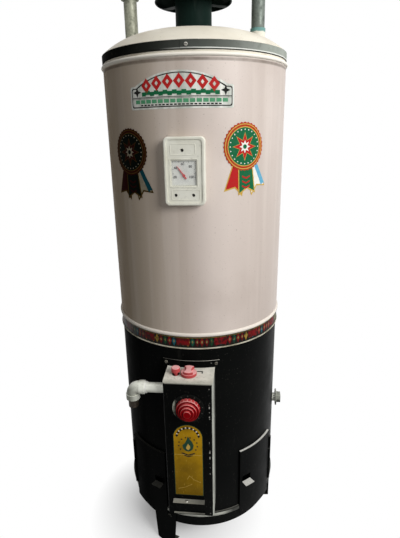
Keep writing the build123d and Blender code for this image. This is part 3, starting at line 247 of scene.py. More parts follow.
def shell_enamel():
    """Pinkish beige stove enamel with faint runs, painted shade towards the left-hand side, a painted highlight
    band, painted reflection streaks, painted highlights along the beads, and a painted shade line with some grime
    under the top bead.
    """
    paint = Paint("shell_enamel")
    paint.clouds(9, 4, 0.35, 0.7, rgb(203, 190, 181), rgb(189, 176, 167), (1, 1, 0.12))
    wobble = paint.patches(6, 4, 0, 1, -0.02, 0.02, stretch=(1, 1, 0.3))
    side = paint.calc("ADD", paint.axis("X"), wobble)
    # Painted shade: darker and warmer towards the left-hand side.
    left_painted_shade = paint.spread(side, 0.03, -0.12, 0, 0.6)
    paint.over(left_painted_shade, rgb(182, 166, 138))
    # Painted highlight: a soft lighter band just right of the middle.
    painted_highlight_band = paint.times(paint.spread(side, 0, 0.05), paint.spread(side, 0.14, 0.08))
    paint.over(paint.times(painted_highlight_band, 0.8), rgb(219, 206, 197))
    # Painted reflection streaks, pale and upright.
    paint.mottle(46, 3, 0.5, 0.66, 0.22, rgb(222, 211, 202), stretch=(1, 1, 0.03))  # streaks
    paint.mottle(5, 5, 0.55, 0.8, 0.45, rgb(172, 156, 146))  # blotch
    paint.mottle(420, 2, 0.69, 0.74, 0.5, rgb(120, 100, 88))  # specks
    # Painted shade, dark brown, on the left-hand front edge.
    painted_shade = paint.times(paint.along("X", -0.12, -0.19), paint.along("Y", 0.07, -0.05))
    painted_shade = paint.times(painted_shade, paint.patches(11, 5, 0.3, 0.6, 0.65, 0.95, stretch=(1, 1, 0.4)))
    paint.over(painted_shade, rgb(128, 104, 70))
    # Painted highlights along the lower and top beads.
    low_bead_highlight = paint.band("Z", shell_low_z - 0.01, shell_low_z + 8 * MM, 1.5 * MM)
    paint.over(low_bead_highlight, rgb(226, 218, 207))
    top_bead_highlight = paint.band("Z", shell_top_z - 6 * MM, shell_top_z + 0.01, 1.5 * MM)
    paint.over(top_bead_highlight, rgb(240, 234, 222))
    # Painted shade under the top bead, with some grime.
    grime = paint.band("Z", shell_top_z - 12 * MM, shell_top_z - 9 * MM, 2 * MM)
    grime = paint.times(grime, paint.patches(30, 4, 0.3, 0.6, 0.4, 0.8))
    paint.over(grime, rgb(104, 92, 80))
    gloss = paint.gloss(0.01, 0.3)
    return paint.finish((14, 3, 0.34, 0.5), specular=gloss, bump=(260, 2), depth=0.00008)


def lid_enamel():
    """Cream enamel in uneven tones, with stains and specks."""
    paint = Paint("lid_enamel")
    paint.clouds(12, 5, 0.35, 0.7, rgb(230, 224, 208), rgb(214, 206, 189))
    paint.mottle(26, 6, 0.6, 0.75, 0.45, rgb(172, 154, 130))  # stains
    paint.mottle(300, 2, 0.7, 0.75, 0.6, rgb(110, 92, 76))  # specks
    return paint.finish((20, 3, 0.3, 0.55), specular=0.08, bump=(200, 2), depth=0.0001)


def enamel_base(name):
    """Paint of uneven black with faint scuffs and specks."""
    paint = Paint(name)
    paint.clouds(7, 4, 0.3, 0.75, rgb(6, 7, 7), rgb(12, 13, 12))
    paint.mottle(34, 6, 0.66, 0.8, 0.14, rgb(84, 84, 78), stretch=(1, 1, 0.35))  # scuffs
    paint.mottle(520, 1, 0.74, 0.78, 0.5, rgb(120, 116, 108))  # specks
    return paint


def finish_enamel(paint, dust_and_sheen, colour, least=0.75):
    """Dust with a painted sheen on what faces up, and the gloss shared by all black enamel."""
    speckle = paint.patches(300, 3, 0.3, 0.6, least, 1.0)
    paint.over(paint.times(paint.upward(), paint.times(speckle, dust_and_sheen)), colour)
    gloss = paint.gloss(0.001, 0.02)
    return paint.finish((18, 4, 0.3, 0.46), specular=gloss, bump=(24, 3), depth=0.0005)


def black_enamel(name, dust_and_sheen, dust_and_sheen_colour):
    """Black stove enamel, a little uneven, with dust and a painted sheen on what faces up, and pale worn specks.
    """
    return finish_enamel(enamel_base(name), dust_and_sheen, dust_and_sheen_colour)


def base_enamel():
    """Black enamel of the base, with a painted highlight along the bead, and dust with a painted sheen on what
    faces up.
    """
    paint = enamel_base("base_enamel")
    # Painted highlight along the bead, strongest left of the right-hand door.
    bead = paint.band("Z", skirt_low_z - 5 * MM, skirt_low_z + 8 * MM, 1 * MM)
    bead = paint.times(bead, paint.along("X", 0.091, 0.072, 0.15, 1.0))
    painted_highlight = paint.times(bead, paint.patches(60, 4, 0.3, 0.6, 0.55, 0.9))
    paint.over(painted_highlight, rgb(206, 207, 196))
    return finish_enamel(paint, 0.4, rgb(170, 168, 158))


def painted_shade_door_enamel():
    """Black enamel of the left-hand door, a painted-shade copy of the right-hand door's, with dust and sheen on
    its tab alone.
    """
    paint = enamel_base("dim_door")
    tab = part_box("left_door")[0].z + 97 * MM
    dust_and_sheen = paint.spread(paint.band("Z", tab - 3 * MM, tab + 1 * MM, 0.5 * MM), 0, 1, 0.1, 0.35)
    return finish_enamel(paint, dust_and_sheen, rgb(160, 158, 148))


def box_enamel():
    """Black enamel of the control box: dusty top with a painted sheen, chipped front edge, and a painted highlight
    with some worn paint on the right-hand fold.
    """
    paint = enamel_base("box_enamel")
    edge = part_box("control_cover")[1].x - 10 * MM
    chips = paint.patches(170, 3, 0.6, 0.64, 0, 0.8)
    line = paint.band("X", edge - 8.4 * MM, edge - 6.8 * MM, 0.5 * MM)
    paint.over(paint.times(line, chips), rgb(196, 194, 186))
    # Pale band on the right-hand fold, towards the front: painted highlight, with some worn paint.
    fold = paint.band("X", edge - 1.6 * MM, edge + 1 * MM, 1.2 * MM)
    depth = paint.calc("SUBTRACT", paint.axis("Y"), cover_front_y)
    front = paint.spread(depth, 44 * MM, 20 * MM, 0.2, 0.9)
    front = paint.times(front, paint.spread(depth, 62 * MM, 58 * MM))
    worn = paint.patches(120, 5, 0.32, 0.6, 0.6, 0.98, stretch=(1, 1, 0.12))
    paint.over(paint.times(paint.times(fold, front), worn), rgb(196, 198, 188))
    dust_and_sheen = paint.mix(paint.patches(36, 6, 0.35, 0.68), rgb(240, 236, 223), rgb(214, 211, 197))
    rim = paint.spread(depth, 16 * MM, 2 * MM, 0, 0.7)
    dust_and_sheen = paint.mix(rim, dust_and_sheen, rgb(158, 157, 144))
    grit = paint.patches(330, 3, 0.6, 0.68, 0, 0.4)
    dust_and_sheen = paint.mix(grit, dust_and_sheen, rgb(110, 107, 97))
    high = paint.along("Z", cover_top_z + 4 * MM, cover_top_z + 8 * MM)
    flange = paint.times(high, paint.along("X", -40 * MM, 50 * MM, 0.85, 0.1))
    low = paint.along("Z", cover_top_z - 150 * MM, cover_top_z - 200 * MM)
    ledges = paint.times(low, paint.along("X", -12 * MM, 22 * MM, 0.3, 0.66))
    share = paint.calc("SUBTRACT", paint.calc("SUBTRACT", 0.97, flange), ledges)
    return finish_enamel(paint, share, dust_and_sheen, 0.95)


def trim_print():
    """Printed strip: dark red bars between small coloured lozenges on black, over a pale bead."""
    paint = Paint("trim_print")
    azimuth = paint.calc("ARCTAN2", paint.axis("X"), paint.axis("Y"))
    cells = paint.spread(azimuth, -pi, pi, 0, 120)
    random = paint.add("ShaderNodeTexWhiteNoise", noise_dimensions="1D")
    paint.feed(random.inputs["W"], paint.calc("FLOOR", cells))
    reds = (rgb(126, 20, 26), rgb(110, 24, 22), rgb(92, 14, 20))
    greens = (rgb(16, 76, 60), rgb(24, 66, 40))
    colours = (reds[0], greens[0], reds[1], greens[1], rgb(156, 124, 50), rgb(18, 84, 98), reds[2])
    ink = paint.steps(random.outputs["Value"], colours)
    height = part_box("trim_strip")[1].z - trim_low_z
    aside = paint.calc("ABSOLUTE", paint.calc("SUBTRACT", paint.calc("FRACT", cells), 0.5))
    above = paint.along("Z", trim_low_z + 0.16 * height, trim_low_z + height, -0.5, 0.5)
    reach = paint.calc("ADD", aside, paint.calc("ABSOLUTE", above))
    paint.ground(paint.spread(reach, 0.5, 0.46), rgb(24, 22, 18), ink)
    core = paint.mix(paint.noise(200, 2), rgb(176, 150, 84), rgb(38, 92, 70))
    paint.over(paint.spread(reach, 0.2, 0.16), core)
    beat = paint.calc("FRACT", paint.times(cells, 0.125))
    bar = paint.times(paint.spread(beat, 0.01, 0.03), paint.spread(beat, 0.37, 0.35))
    bar = paint.times(bar, paint.spread(paint.calc("ABSOLUTE", above), 0.36, 0.32))
    bar_ink = paint.mix(paint.patches(150, 4, 0.45, 0.6), rgb(116, 20, 24), rgb(74, 14, 16))
    paint.over(bar, bar_ink)
    # Painted shade, darker towards the left-hand side.
    paint.over(paint.along("X", -0.07, -0.15, 0, 0.75), rgb(14, 13, 10))
    stripe = paint.band("Z", trim_low_z + 0.9 * height, trim_low_z + 0.94 * height, 0.3 * MM)
    paint.over(stripe, rgb(120, 100, 52))
    paint.mottle(110, 5, 0.52, 0.68, 0.85, rgb(34, 30, 25))  # wear
    bead = paint.band("Z", trim_low_z - 0.01, trim_low_z + 2.8 * MM, 0.5 * MM)
    pale = paint.mix(paint.patches(40, 5, 0.4, 0.65), rgb(196, 190, 172), rgb(136, 130, 110))
    paint.over(bead, pale)
    return paint.finish((60, 3, 0.3, 0.5), specular=0.05)


# Materials of metal parts


def dark_band():
    """Blackened bright steel with a painted reflection, black on the left to pale grey on the right, blotched and
    faintly brushed along its length.
    """
    paint = Paint("dark_band")
    bright = paint.mix(paint.patches(18, 5, 0.3, 0.7), rgb(170, 175, 167), rgb(146, 152, 142))
    black = paint.mix(paint.patches(30, 4, 0.3, 0.7), rgb(7, 8, 6), rgb(16, 17, 13))
    # Painted reflection: black on the left-hand side, pale grey on the right.
    painted_reflection_reach = paint.calc("ADD", paint.axis("X"), paint.patches(14, 5, 0.0, 1.0, -0.04, 0.04))
    painted_reflection = paint.calc("POWER", paint.spread(painted_reflection_reach, -0.17, 0.18), 2.8)
    paint.ground(painted_reflection, black, bright)
    paint.mottle(120, 5, 0.6, 0.72, 0.25, rgb(70, 68, 58))  # spots
    low_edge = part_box("lid_band")[0].z
    # Painted highlight along the lower edge, on the right-hand side.
    lip = paint.band("Z", low_edge + 1.4 * MM, low_edge + 3 * MM, 0.3 * MM)
    lip = paint.times(lip, paint.along("X", -0.04, 0.04, 0, 0.85))
    paint.over(lip, rgb(226, 228, 220))
    # Painted shadow in the gap below the band.
    gap_shadow = paint.along("Z", low_edge + 1.4 * MM, low_edge + 1.1 * MM)
    paint.over(gap_shadow, rgb(16, 16, 12))
    rough = paint.patches(40, 4, 0.3, 0.7, 0.36, 0.52, stretch=(1, 1, 8))
    gloss = paint.gloss(0.001, 0.03)
    return paint.finish(rough, specular=gloss, bump=(90, 3, (1, 1, 6)), depth=0.0001)


def galvanised(name, tint, patch, dark, painted_shade=None):
    """Zinc coat with spangles, pale bloom and dark handled patches, and painted shade on the sides between two
    places along X and on what faces down.
    """
    paint = Paint(name)
    spangle = paint.spread(paint.cells(220), 0.0, 0.7)
    paint.ground(spangle, tint, patch)
    paint.mottle(45, 5, 0.45, 0.65, 1.0, patch)  # bloom
    paint.mottle(70, 6, 0.56, 0.7, 0.8, dark)  # stains
    if painted_shade:
        start, full = painted_shade
        # Painted shade on the sides between two places along X, and on what faces down.
        share = paint.along("X", start, full, 0, 0.8)
        sides = paint.times(share, paint.upward(0.95, 0.35))
        paint.over(sides, rgb(74, 77, 63))
        painted_underside_shade = paint.times(paint.upward(0.2, -0.5), 0.45)
        paint.over(painted_underside_shade, rgb(96, 98, 84))
    return paint.finish((60, 3, 0.38, 0.62), metallic=0.3, specular=0.15, bump=(150, 4), depth=0.0003)


def drain_metal():
    """Zinc of the drain plug, with painted shade on its lower half."""
    paint = Paint("drain_grime")
    paint.clouds(90, 4, 0.3, 0.7, rgb(164, 166, 156), rgb(128, 130, 120))
    low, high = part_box("drain_plug")
    middle = (low.z + high.z) / 2
    # Painted shade over the lower half.
    edge = paint.calc("ADD", paint.axis("Z"), paint.patches(80, 4, 0, 1, -4 * MM, 4 * MM))
    paint.over(paint.spread(edge, middle + 1 * MM, middle - 5 * MM, 0, 0.9), rgb(24, 25, 22))
    return paint.finish((60, 3, 0.38, 0.6), metallic=0.2, specular=0.15, bump=(150, 4), depth=0.0003)


def bare_metal(name, light, dark, metallic, low, high, grain=(1, 1, 6)):
    """Plain metal with faint grain, in two tones."""
    paint = Paint(name)
    paint.clouds(60, 5, 0.3, 0.7, light, dark, grain)
    paint.mottle(130, 4, 0.62, 0.74, 0.5, shade(dark, 0.5))  # spots
    return paint.finish((80, 3, low, high), metallic=metallic, bump=(300, 3), depth=0.0001)


def flue_paint():
    """Dark green-black heat-proof paint with soot and chalky streaks."""
    paint = Paint("flue_paint")
    paint.clouds(16, 4, 0.3, 0.7, rgb(18, 32, 28), rgb(28, 44, 39))
    paint.mottle(60, 5, 0.62, 0.78, 0.3, rgb(92, 104, 96), stretch=(1, 1, 0.15))  # streaks
    return paint.finish((30, 3, 0.36, 0.55), specular=0.02, bump=(80, 4), depth=0.0002)


# Materials of plastics, glass and soft stuff


def red_ground(name, pale, least, most, sides=0.0):
    """Paint of red plastic, pale where it faces up from fading and a painted highlight, faded a little on its
    sides, with fine scratches.
    """
    paint = Paint(name)
    paint.clouds(60, 3, 0.35, 0.7, rgb(158, 16, 24), rgb(178, 28, 34))
    fade_and_highlight = paint.patches(90, 3, 0.3, 0.6, least, most)
    above = paint.times(paint.upward(0.5, 0.95), fade_and_highlight)
    paint.over(paint.calc("MAXIMUM", above, sides), pale)
    paint.mottle(240, 4, 0.64, 0.72, 0.3, rgb(226, 116, 112), stretch=(1, 6, 1))  # scratches
    return paint


def finish_red(paint, specular):
    """Gloss of moulded red plastic."""
    return paint.finish((90, 3, 0.26, 0.42), specular=specular, bump=(400, 2), depth=0.00005)


def red_plastic():
    """Moulded red plastic of the small knobs."""
    # Tops pale from fading and a painted highlight.
    return finish_red(red_ground("red_plastic", rgb(250, 186, 184), 0.7, 0.95, 0.12), 0.1)


def rings(paint, reach, radii, wide, narrow):
    """1 close to any of some radii."""
    total = 0.0
    for radius in radii:
        off = paint.calc("ABSOLUTE", paint.calc("SUBTRACT", reach, radius * MM))
        total = paint.calc("MAXIMUM", paint.spread(off, wide * MM, narrow * MM), total)
    return total


def dial_plastic():
    """Red plastic of the dial, with painted shade in the grooves and on what faces down, and painted highlights on
    the ridges.
    """
    paint = red_ground("dial_plastic", rgb(240, 140, 138), 0.3, 0.65)
    across = paint.calc("SUBTRACT", paint.axis("X"), dial_centre.x)
    up = paint.calc("SUBTRACT", paint.axis("Z"), dial_centre.z)
    reach = paint.calc("SQRT", paint.calc("ADD", paint.times(across, across), paint.times(up, up)))
    paint.over(0.5, rgb(158, 2, 8))
    # Painted shade in the grooves.
    groove_shade = rings(paint, reach, (20.7, 15.7, 9.7), 1.3, 0.3)
    paint.over(paint.times(groove_shade, 0.85), rgb(48, 5, 8))
    # Painted highlights on the ridges and their crests.
    ridges = rings(paint, reach, (23.3, 18.3, 13.3, 7.2), 0.7, 0.2)
    worn = paint.patches(120, 4, 0.3, 0.6, 0.1, 0.45)
    paint.over(paint.times(ridges, worn), rgb(236, 96, 94))
    crests = paint.times(ridges, paint.upward(0.05, 0.6))
    paint.over(paint.times(crests, 0.75), rgb(250, 196, 188))
    # Painted shade on what faces down.
    painted_underside_shade = paint.times(paint.upward(0.4, -0.2), 0.8)
    paint.over(painted_underside_shade, rgb(98, 1, 5))
    return finish_red(paint, 0.02)


def pale_plastic(name, light, dark, grime=0.35):
    """White or coloured plastic, a little yellowed, with dirt in faint patches."""
    paint = Paint(name)
    paint.clouds(30, 4, 0.35, 0.7, light, dark)
    paint.mottle(160, 5, 0.6, 0.75, grime, shade(dark, 0.55))  # dirt
    return paint.finish((70, 3, 0.32, 0.5), specular=0.2, bump=(350, 2), depth=0.00006)


def clear_glass():
    """Clear thin pane with faint smears."""
    paint = Paint("clear_glass")
    paint.ground(paint.noise(20, 2), rgb(250, 252, 252), rgb(238, 242, 242))
    paint.feed(paint.shader.inputs["Alpha"], paint.patches(40, 4, 0.3, 0.8, 0.03, 0.12))
    return paint.finish(paint.patches(50, 5, 0.3, 0.8, 0.05, 0.2))


def glass_wool():
    """Yellow glass wool, matted and uneven."""
    paint = Paint("glass_wool")
    paint.clouds(90, 6, 0.35, 0.7, rgb(222, 204, 128), rgb(186, 160, 84))
    return paint.finish(0.95, specular=0.1, bump=(260, 6), depth=0.002)


def silver_foil():
    """Silver sticker, brushed in upright streaks."""
    paint = Paint("silver_foil")
    paint.clouds(70, 4, 0.35, 0.65, rgb(234, 234, 226), rgb(186, 190, 180), (1, 1, 0.04))
    paint.mottle(160, 5, 0.6, 0.75, 0.4, rgb(150, 150, 138))  # grime
    return paint.finish((60, 3, 0.3, 0.45), specular=0.15)


def gold_foil():
    """Brass-coloured foil plate, tarnished in clouds and lightly scratched."""
    paint = Paint("gold_foil")
    paint.clouds(26, 4, 0.35, 0.7, rgb(176, 134, 14), rgb(130, 97, 5))
    dull = paint.along("Z", 0.37, 0.24, 0, 0.75)
    paint.over(dull, rgb(100, 77, 6))
    paint.mottle(160, 5, 0.62, 0.7, 0.5, rgb(206, 172, 72), stretch=(5, 1, 0.6))  # scratches
    return paint.finish((50, 4, 0.3, 0.5), metallic=0.2, specular=0.05, bump=(45, 3), depth=0.0006)


def print_ink(name, colour, worn, specular=0.05):
    """Printed colour with a mottled screen and small worn spots."""
    paint = Paint(name)
    paint.ground(paint.patches(220, 3, 0.3, 0.7, 0, 0.3), colour, worn)
    paint.mottle(480, 2, 0.7, 0.74, 0.6, worn)  # chips
    return paint.finish((120, 2, 0.35, 0.5), specular=specular)


def pipe_ring_plastic():
    """Teal plastic ring with the lid's cream paint on its foot."""
    paint = Paint("pipe_ring_plastic")
    paint.clouds(60, 4, 0.35, 0.7, rgb(118, 158, 152), rgb(96, 142, 138))
    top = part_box("cold_pipe_ring")[1].z
    edge = paint.calc("ADD", paint.axis("Z"), paint.patches(120, 4, 0, 1, -2 * MM, 2 * MM))
    paint.over(paint.spread(edge, top - 6 * MM, top - 8 * MM), rgb(224, 220, 206))
    return paint.finish((70, 3, 0.36, 0.52), specular=0.2, bump=(350, 2), depth=0.00006)


def dark_escutcheon():
    """Blackened ring, with a painted highlight along its left-hand side."""
    paint = Paint("dark_escutcheon")
    paint.clouds(60, 4, 0.3, 0.7, rgb(11, 12, 11), rgb(20, 21, 19))
    # Painted highlight along the left-hand side.
    left = paint.along("X", -25 * MM, -29 * MM)
    painted_highlight = paint.times(left, paint.patches(90, 4, 0.3, 0.55, 0.35, 0.95))
    paint.over(painted_highlight, rgb(182, 186, 170))
    return paint.finish((80, 3, 0.3, 0.45), specular=0.03, bump=(300, 3), depth=0.0001)


black_gloss = black_enamel("black_enamel", 0.25, rgb(150, 148, 138))
# Lit copy of the door enamel: heavy dust with a painted sheen on what faces up.
bright_door = black_enamel("bright_door", 0.97, rgb(226, 224, 216))
zinc = bare_metal("zinc_plate", rgb(178, 176, 168), rgb(140, 138, 130), 0.8, 0.28, 0.45)
plain_steel = bare_metal("plain_steel", rgb(128, 126, 122), rgb(96, 92, 88), 0.8, 0.35, 0.55)
cast_iron = bare_metal("cast_iron", rgb(52, 50, 48), rgb(36, 35, 34), 0.5, 0.55, 0.75, (1, 1, 1))
aluminium = bare_metal("aluminium", rgb(186, 186, 184), rgb(160, 160, 158), 0.9, 0.28, 0.42)
brass = bare_metal("brass", rgb(196, 160, 84), rgb(164, 128, 58), 0.9, 0.24, 0.4)
elbow_low, elbow_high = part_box("gas_elbow")
elbow_painted_shade = (elbow_high.x - 8 * MM, elbow_low.x + 10 * MM)
zinc_pipe = galvanised("zinc_pipe", rgb(92, 99, 93), rgb(111, 118, 111), rgb(63, 70, 64))
old_pipe = galvanised("old_pipe", rgb(98, 100, 87), rgb(154, 155, 138), rgb(54, 56, 47))
rusty_pipe = galvanised("rusty_pipe", rgb(30, 26, 22), rgb(54, 47, 39), rgb(16, 13, 11))
pale_pipe = galvanised("pale_pipe", rgb(216, 218, 205), rgb(232, 233, 222), rgb(172, 171, 159), elbow_painted_shade)
white_plastic = pale_plastic("white_plastic", rgb(232, 231, 218), rgb(216, 214, 198))

finishes = {
    shell_enamel(): ("upper_shell",),
    lid_enamel(): ("lid",),
    trim_print(): ("trim_strip",),
    black_gloss: ("front_leg", "right_leg", "rear_leg", "skirt", "door_hinges", "leg_bolts", "hinge_pins"),
    base_enamel(): ("base_ring",),
    box_enamel(): ("control_cover",),
    painted_shade_door_enamel(): ("left_door",),
    bright_door: ("right_door",),
    dark_band(): ("lid_band",),
    plain_steel: ("base_pan", "tank_stand", "tank", "flue_baffle", "burner_pedestal", "pilot_bracket"),
    zinc: ("leg_nuts", "lid_band_screw", "dial_spindle", "gas_cock_stem"),
    bare_metal("dull_screw", rgb(108, 104, 92), rgb(70, 66, 58), 0.5, 0.4, 0.55): ("cover_screws",),
    flue_paint(): ("flue_tube", "draft_hood", "hood_straps"),
    zinc_pipe: ("cold_pipe",),
    old_pipe: ("hot_pipe", "hot_socket"),
    rusty_pipe: ("gas_stub",),
    pale_pipe: ("gas_nipple", "gas_elbow", "drain_nipple"),
    drain_metal(): ("drain_plug",),
    cast_iron: ("main_burner", "burner_venturi", "thermometer_screws"),
    glass_wool(): ("insulation",),
    pipe_ring_plastic(): ("cold_pipe_ring",),
    white_plastic: ("thermometer_bezel", "dip_tube"),
    pale_plastic("dial_paper", rgb(226, 227, 220), rgb(214, 215, 208), 0.15): ("thermometer_face",),
    pale_plastic("seal_tape", rgb(236, 236, 230), rgb(220, 219, 210), 0.2): ("thread_tape",),
    clear_glass(): ("thermometer_glass",),
    red_plastic(): ("gas_cock_knob", "reset_button"),
    dial_plastic(): ("temperature_dial",),
    bare_metal("needle_red", rgb(206, 44, 46), rgb(184, 30, 34), 0.0, 0.35, 0.5): ("thermometer_needle",),
    aluminium: ("gas_valve", "manifold_tube", "pilot_tube"),
    dark_escutcheon(): ("dial_escutcheon",),
    brass: ("thermostat_probe", "thermocouple", "pilot_burner", "thermometer_stem"),
}
for material, names in finishes.items():
    for name in names:
        nodes[name].data.materials.clear()
        nodes[name].data.materials.append(material)


# Ways to lay flat drawings on the object: across, up and lift off the surface, in metres


def on_drum(azimuth, height):
    """Places a drawing round the upper shell, centred on an azimuth and a height."""

    def place(across, up, lift):
        angle = radians(azimuth) + across / shell_radius
        radius = shell_radius + lift
        return Vector((radius * sin(angle), -radius * cos(angle), height + up))

    return place


def on_plane(matrix):
    """Places a drawing on the plane of a matrix, lifted along its Z."""

    def place(across, up, lift):
        return matrix @ Vector((across, up, lift))

    return place


def on_front(x, y, height):
    """Places a drawing on a plane that faces the front."""
    return on_plane(Matrix.Translation((x, y, height)) @ upright)


def add_object(name, data):
    """Puts a mesh, curve, camera or lamp in the scene."""
    thing = bpy.data.objects.new(name, data)
    bpy.context.scene.collection.objects.link(thing)
    return thing


def keep(name, data, material, place=(0, 0, 0), tilt=(0, 0, 0)):
    """Makes an object of a mesh or curve, gives it its finish and lets it ride on the heater."""
    piece = add_object(name, data)
    piece.location = place
    piece.rotation_euler = tilt
    piece.data.materials.append(material)
    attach(piece, "heater")
    return piece


def keep_mesh(name, bm, material, smooth=False):
    """Makes a piece of a finished mesh, its faces turned outwards."""
    bmesh.ops.recalc_face_normals(bm, faces=bm.faces[:])
    mesh = bpy.data.meshes.new(name)
    bm.to_mesh(mesh)
    bm.free()
    if smooth:
        mesh.shade_smooth()
    return keep(name, mesh, material)


def lay(name, outlines, place, lift, material, thick=0.0):
    """Lays flat outlines, in millimetres, on a surface, cut into strips so that they follow its curve."""
    bm = bmesh.new()
    for outline in outlines:
        bm.faces.new([bm.verts.new((across * MM, up * MM, 0)) for across, up in outline])
    bm.normal_update()
    bmesh.ops.triangulate(bm, faces=bm.faces[:])
    spans = [vert.co.x for vert in bm.verts]
    cut = min(spans) + strip_width
    while cut < max(spans):
        everything = bm.verts[:] + bm.edges[:] + bm.faces[:]
        bmesh.ops.bisect_plane(bm, geom=everything, plane_co=(cut, 0, 0), plane_no=(1, 0, 0))
        cut += strip_width
    for vert in bm.verts:
        vert.co = place(vert.co.x, vert.co.y, lift * MM)
    piece = keep_mesh(name, bm, material)
    if thick:
        solid = piece.modifiers.new("thickness", "SOLIDIFY")
        solid.thickness = thick * MM
        solid.offset = 0.0


def lay_all(prefix, place, sheets):
    """Lays a stack of drawings, each with its lift in millimetres and its ink."""
    for part, outlines, lift, ink in sheets:
        lay(f"{prefix}_{part}", outlines, place, lift, ink)


# Outlines, in millimetres


def circle(radius, centre=(0, 0), count=48, start=0.0, sweep=tau):
    """Points on a circle or an arc of it, anticlockwise."""
    ends = count if sweep == tau else count + 1
    angles = [start + sweep * step / count for step in range(ends)]
    return [(centre[0] + radius * cos(angle), centre[1] + radius * sin(angle)) for angle in angles]


def ring(inner, outer):
    """Short blocks that make up a flat ring."""
    inside, outside = circle(inner), circle(outer)
    return [[outside[step - 1], outside[step], inside[step], inside[step - 1]] for step in range(len(inside))]


def star(points, outer, inner, centre=(0, 0), start=pi / 2):
    """Outline of a star."""
    tips = circle(outer, centre, points, start)
    roots = circle(inner, centre, points, start + pi / points)
    return [corner for pair in zip(tips, roots) for corner in pair]


def block(across, up, width, height):
    """Rectangle about a middle."""
    half, rise = width / 2, height / 2
    return [
        (across - half, up - rise), (across + half, up - rise),
        (across + half, up + rise), (across - half, up + rise),
    ]


def rounded(width, height, corner):
    """Rectangle with rounded corners, about a middle."""
    across, up = width / 2 - corner, height / 2 - corner
    points = []
    for turn, (x, z) in enumerate(((across, up), (-across, up), (-across, -up), (across, -up))):
        points += circle(corner, (x, z), 5, turn * pi / 2, pi / 2)
    return points


def lozenge(across, up, width, height):
    """Diamond about a middle."""
    half, rise = width / 2, height / 2
    return [(across - half, up), (across, up - rise), (across + half, up), (across, up + rise)]


def stroke(points, width):
    """Blocks along a broken line."""
    blocks = []
    for first, second in zip(points, points[1:]):
        start, end = Vector(first), Vector(second)
        side = (end - start).orthogonal().normalized() * width / 2
        blocks.append([tuple(corner) for corner in (start - side, end - side, end + side, start + side)])
    return blocks


def chevron(across, up, arm, fall, width):
    """Bent bar that points down."""
    edge = [(across - arm, up), (across, up - fall), (across + arm, up)]
    return edge + [(x, z - width) for x, z in reversed(edge)]


def ribbon(lean, length, width, root):
    """Ribbon tail that hangs at a lean, with a notched end."""
    along = Vector((sin(lean), -cos(lean)))
    aside = Vector((cos(lean), sin(lean))) * width
    start = Vector(root)
    end = start + along * length
    notch = end - along * width * 0.35
    corners = (start - aside / 2, end - aside * 0.62, notch, end + aside * 0.62, start + aside / 2)
    return [tuple(corner) for corner in corners]


def label_outline(inset):
    """Top label with a square foot, small shoulders and an arched head."""
    width, low, shoulder, top = 196, -31, 8, 31
    step, corner = 11, 4
    half = width / 2 - inset
    low, shoulder, top = low + inset, shoulder - inset, top - inset
    side = circle(corner, (half - corner, low + corner), 6, -pi / 2, pi / 2)
    side += circle(corner, (half - corner, shoulder - corner), 6, 0, pi / 2)
    span, rise = half - step, top - shoulder
    bow = (span * span + rise * rise) / (2 * rise)
    lean = asin(span / bow)
    head = circle(bow, (0, top - bow), 24, pi / 2 - lean, 2 * lean)
    return side + head + [(-across, up) for across, up in reversed(side)]


def plate_outline(radius, low, spring):
    """Front plate with a square foot and a round head."""
    return [(-radius, low), (radius, low), *circle(radius, (0, spring), 24, 0, pi)]


# Solid trim


def skin(bm, rows):
    """Makes faces between neighbouring rows of corners."""
    for first, second in zip(rows, rows[1:]):
        for corners in zip(first, second, second[1:], first[1:]):
            bm.faces.new(corners)


def lathe(name, profile, matrix, material, count):
    """Turns a profile of radius and height, in millimetres, round the local Z of a matrix."""
    bm = bmesh.new()
    loops = []
    for step in range(count):
        angle = tau * step / count
        x, y = MM * cos(angle), MM * sin(angle)
        loops.append([bm.verts.new((radius * x, radius * y, height * MM)) for radius, height in profile])
    skin(bm, loops + loops[:1])
    bmesh.ops.remove_doubles(bm, verts=bm.verts[:], dist=1e-6)
    bmesh.ops.transform(bm, matrix=matrix, verts=bm.verts[:])
    keep_mesh(name, bm, material, smooth=True)


def facing(azimuth, radius, height):
    """Matrix whose Z points out of the drum at an azimuth."""
    turn = Matrix.Rotation(radians(azimuth), 4, "Z")
    return turn @ Matrix.Translation((0, -radius, height)) @ upright


# Ink for the printed pieces
ink_red = print_ink("ink_red", rgb(188, 34, 36), rgb(150, 60, 50))
ink_orange = print_ink("ink_orange", rgb(172, 46, 28), rgb(190, 110, 56))
ink_green = print_ink("ink_green", rgb(18, 98, 60), rgb(58, 120, 84))
ink_gold = print_ink("ink_gold", rgb(206, 172, 84), rgb(170, 128, 60))
ink_blue = print_ink("ink_blue", rgb(88, 164, 196), rgb(150, 190, 204))
ink_white = print_ink("ink_white", rgb(238, 236, 228), rgb(206, 202, 190))
ink_black = print_ink("ink_black", rgb(22, 24, 22), rgb(60, 58, 52))
ink_pine = print_ink("ink_pine", rgb(26, 66, 52), rgb(70, 84, 46))
ink_grey = print_ink("ink_grey", rgb(96, 97, 90), rgb(70, 70, 64))
ink_silver = silver_foil()
ink_leaf = print_ink("ink_leaf", rgb(72, 148, 104), rgb(140, 178, 150))


# Labels and prints


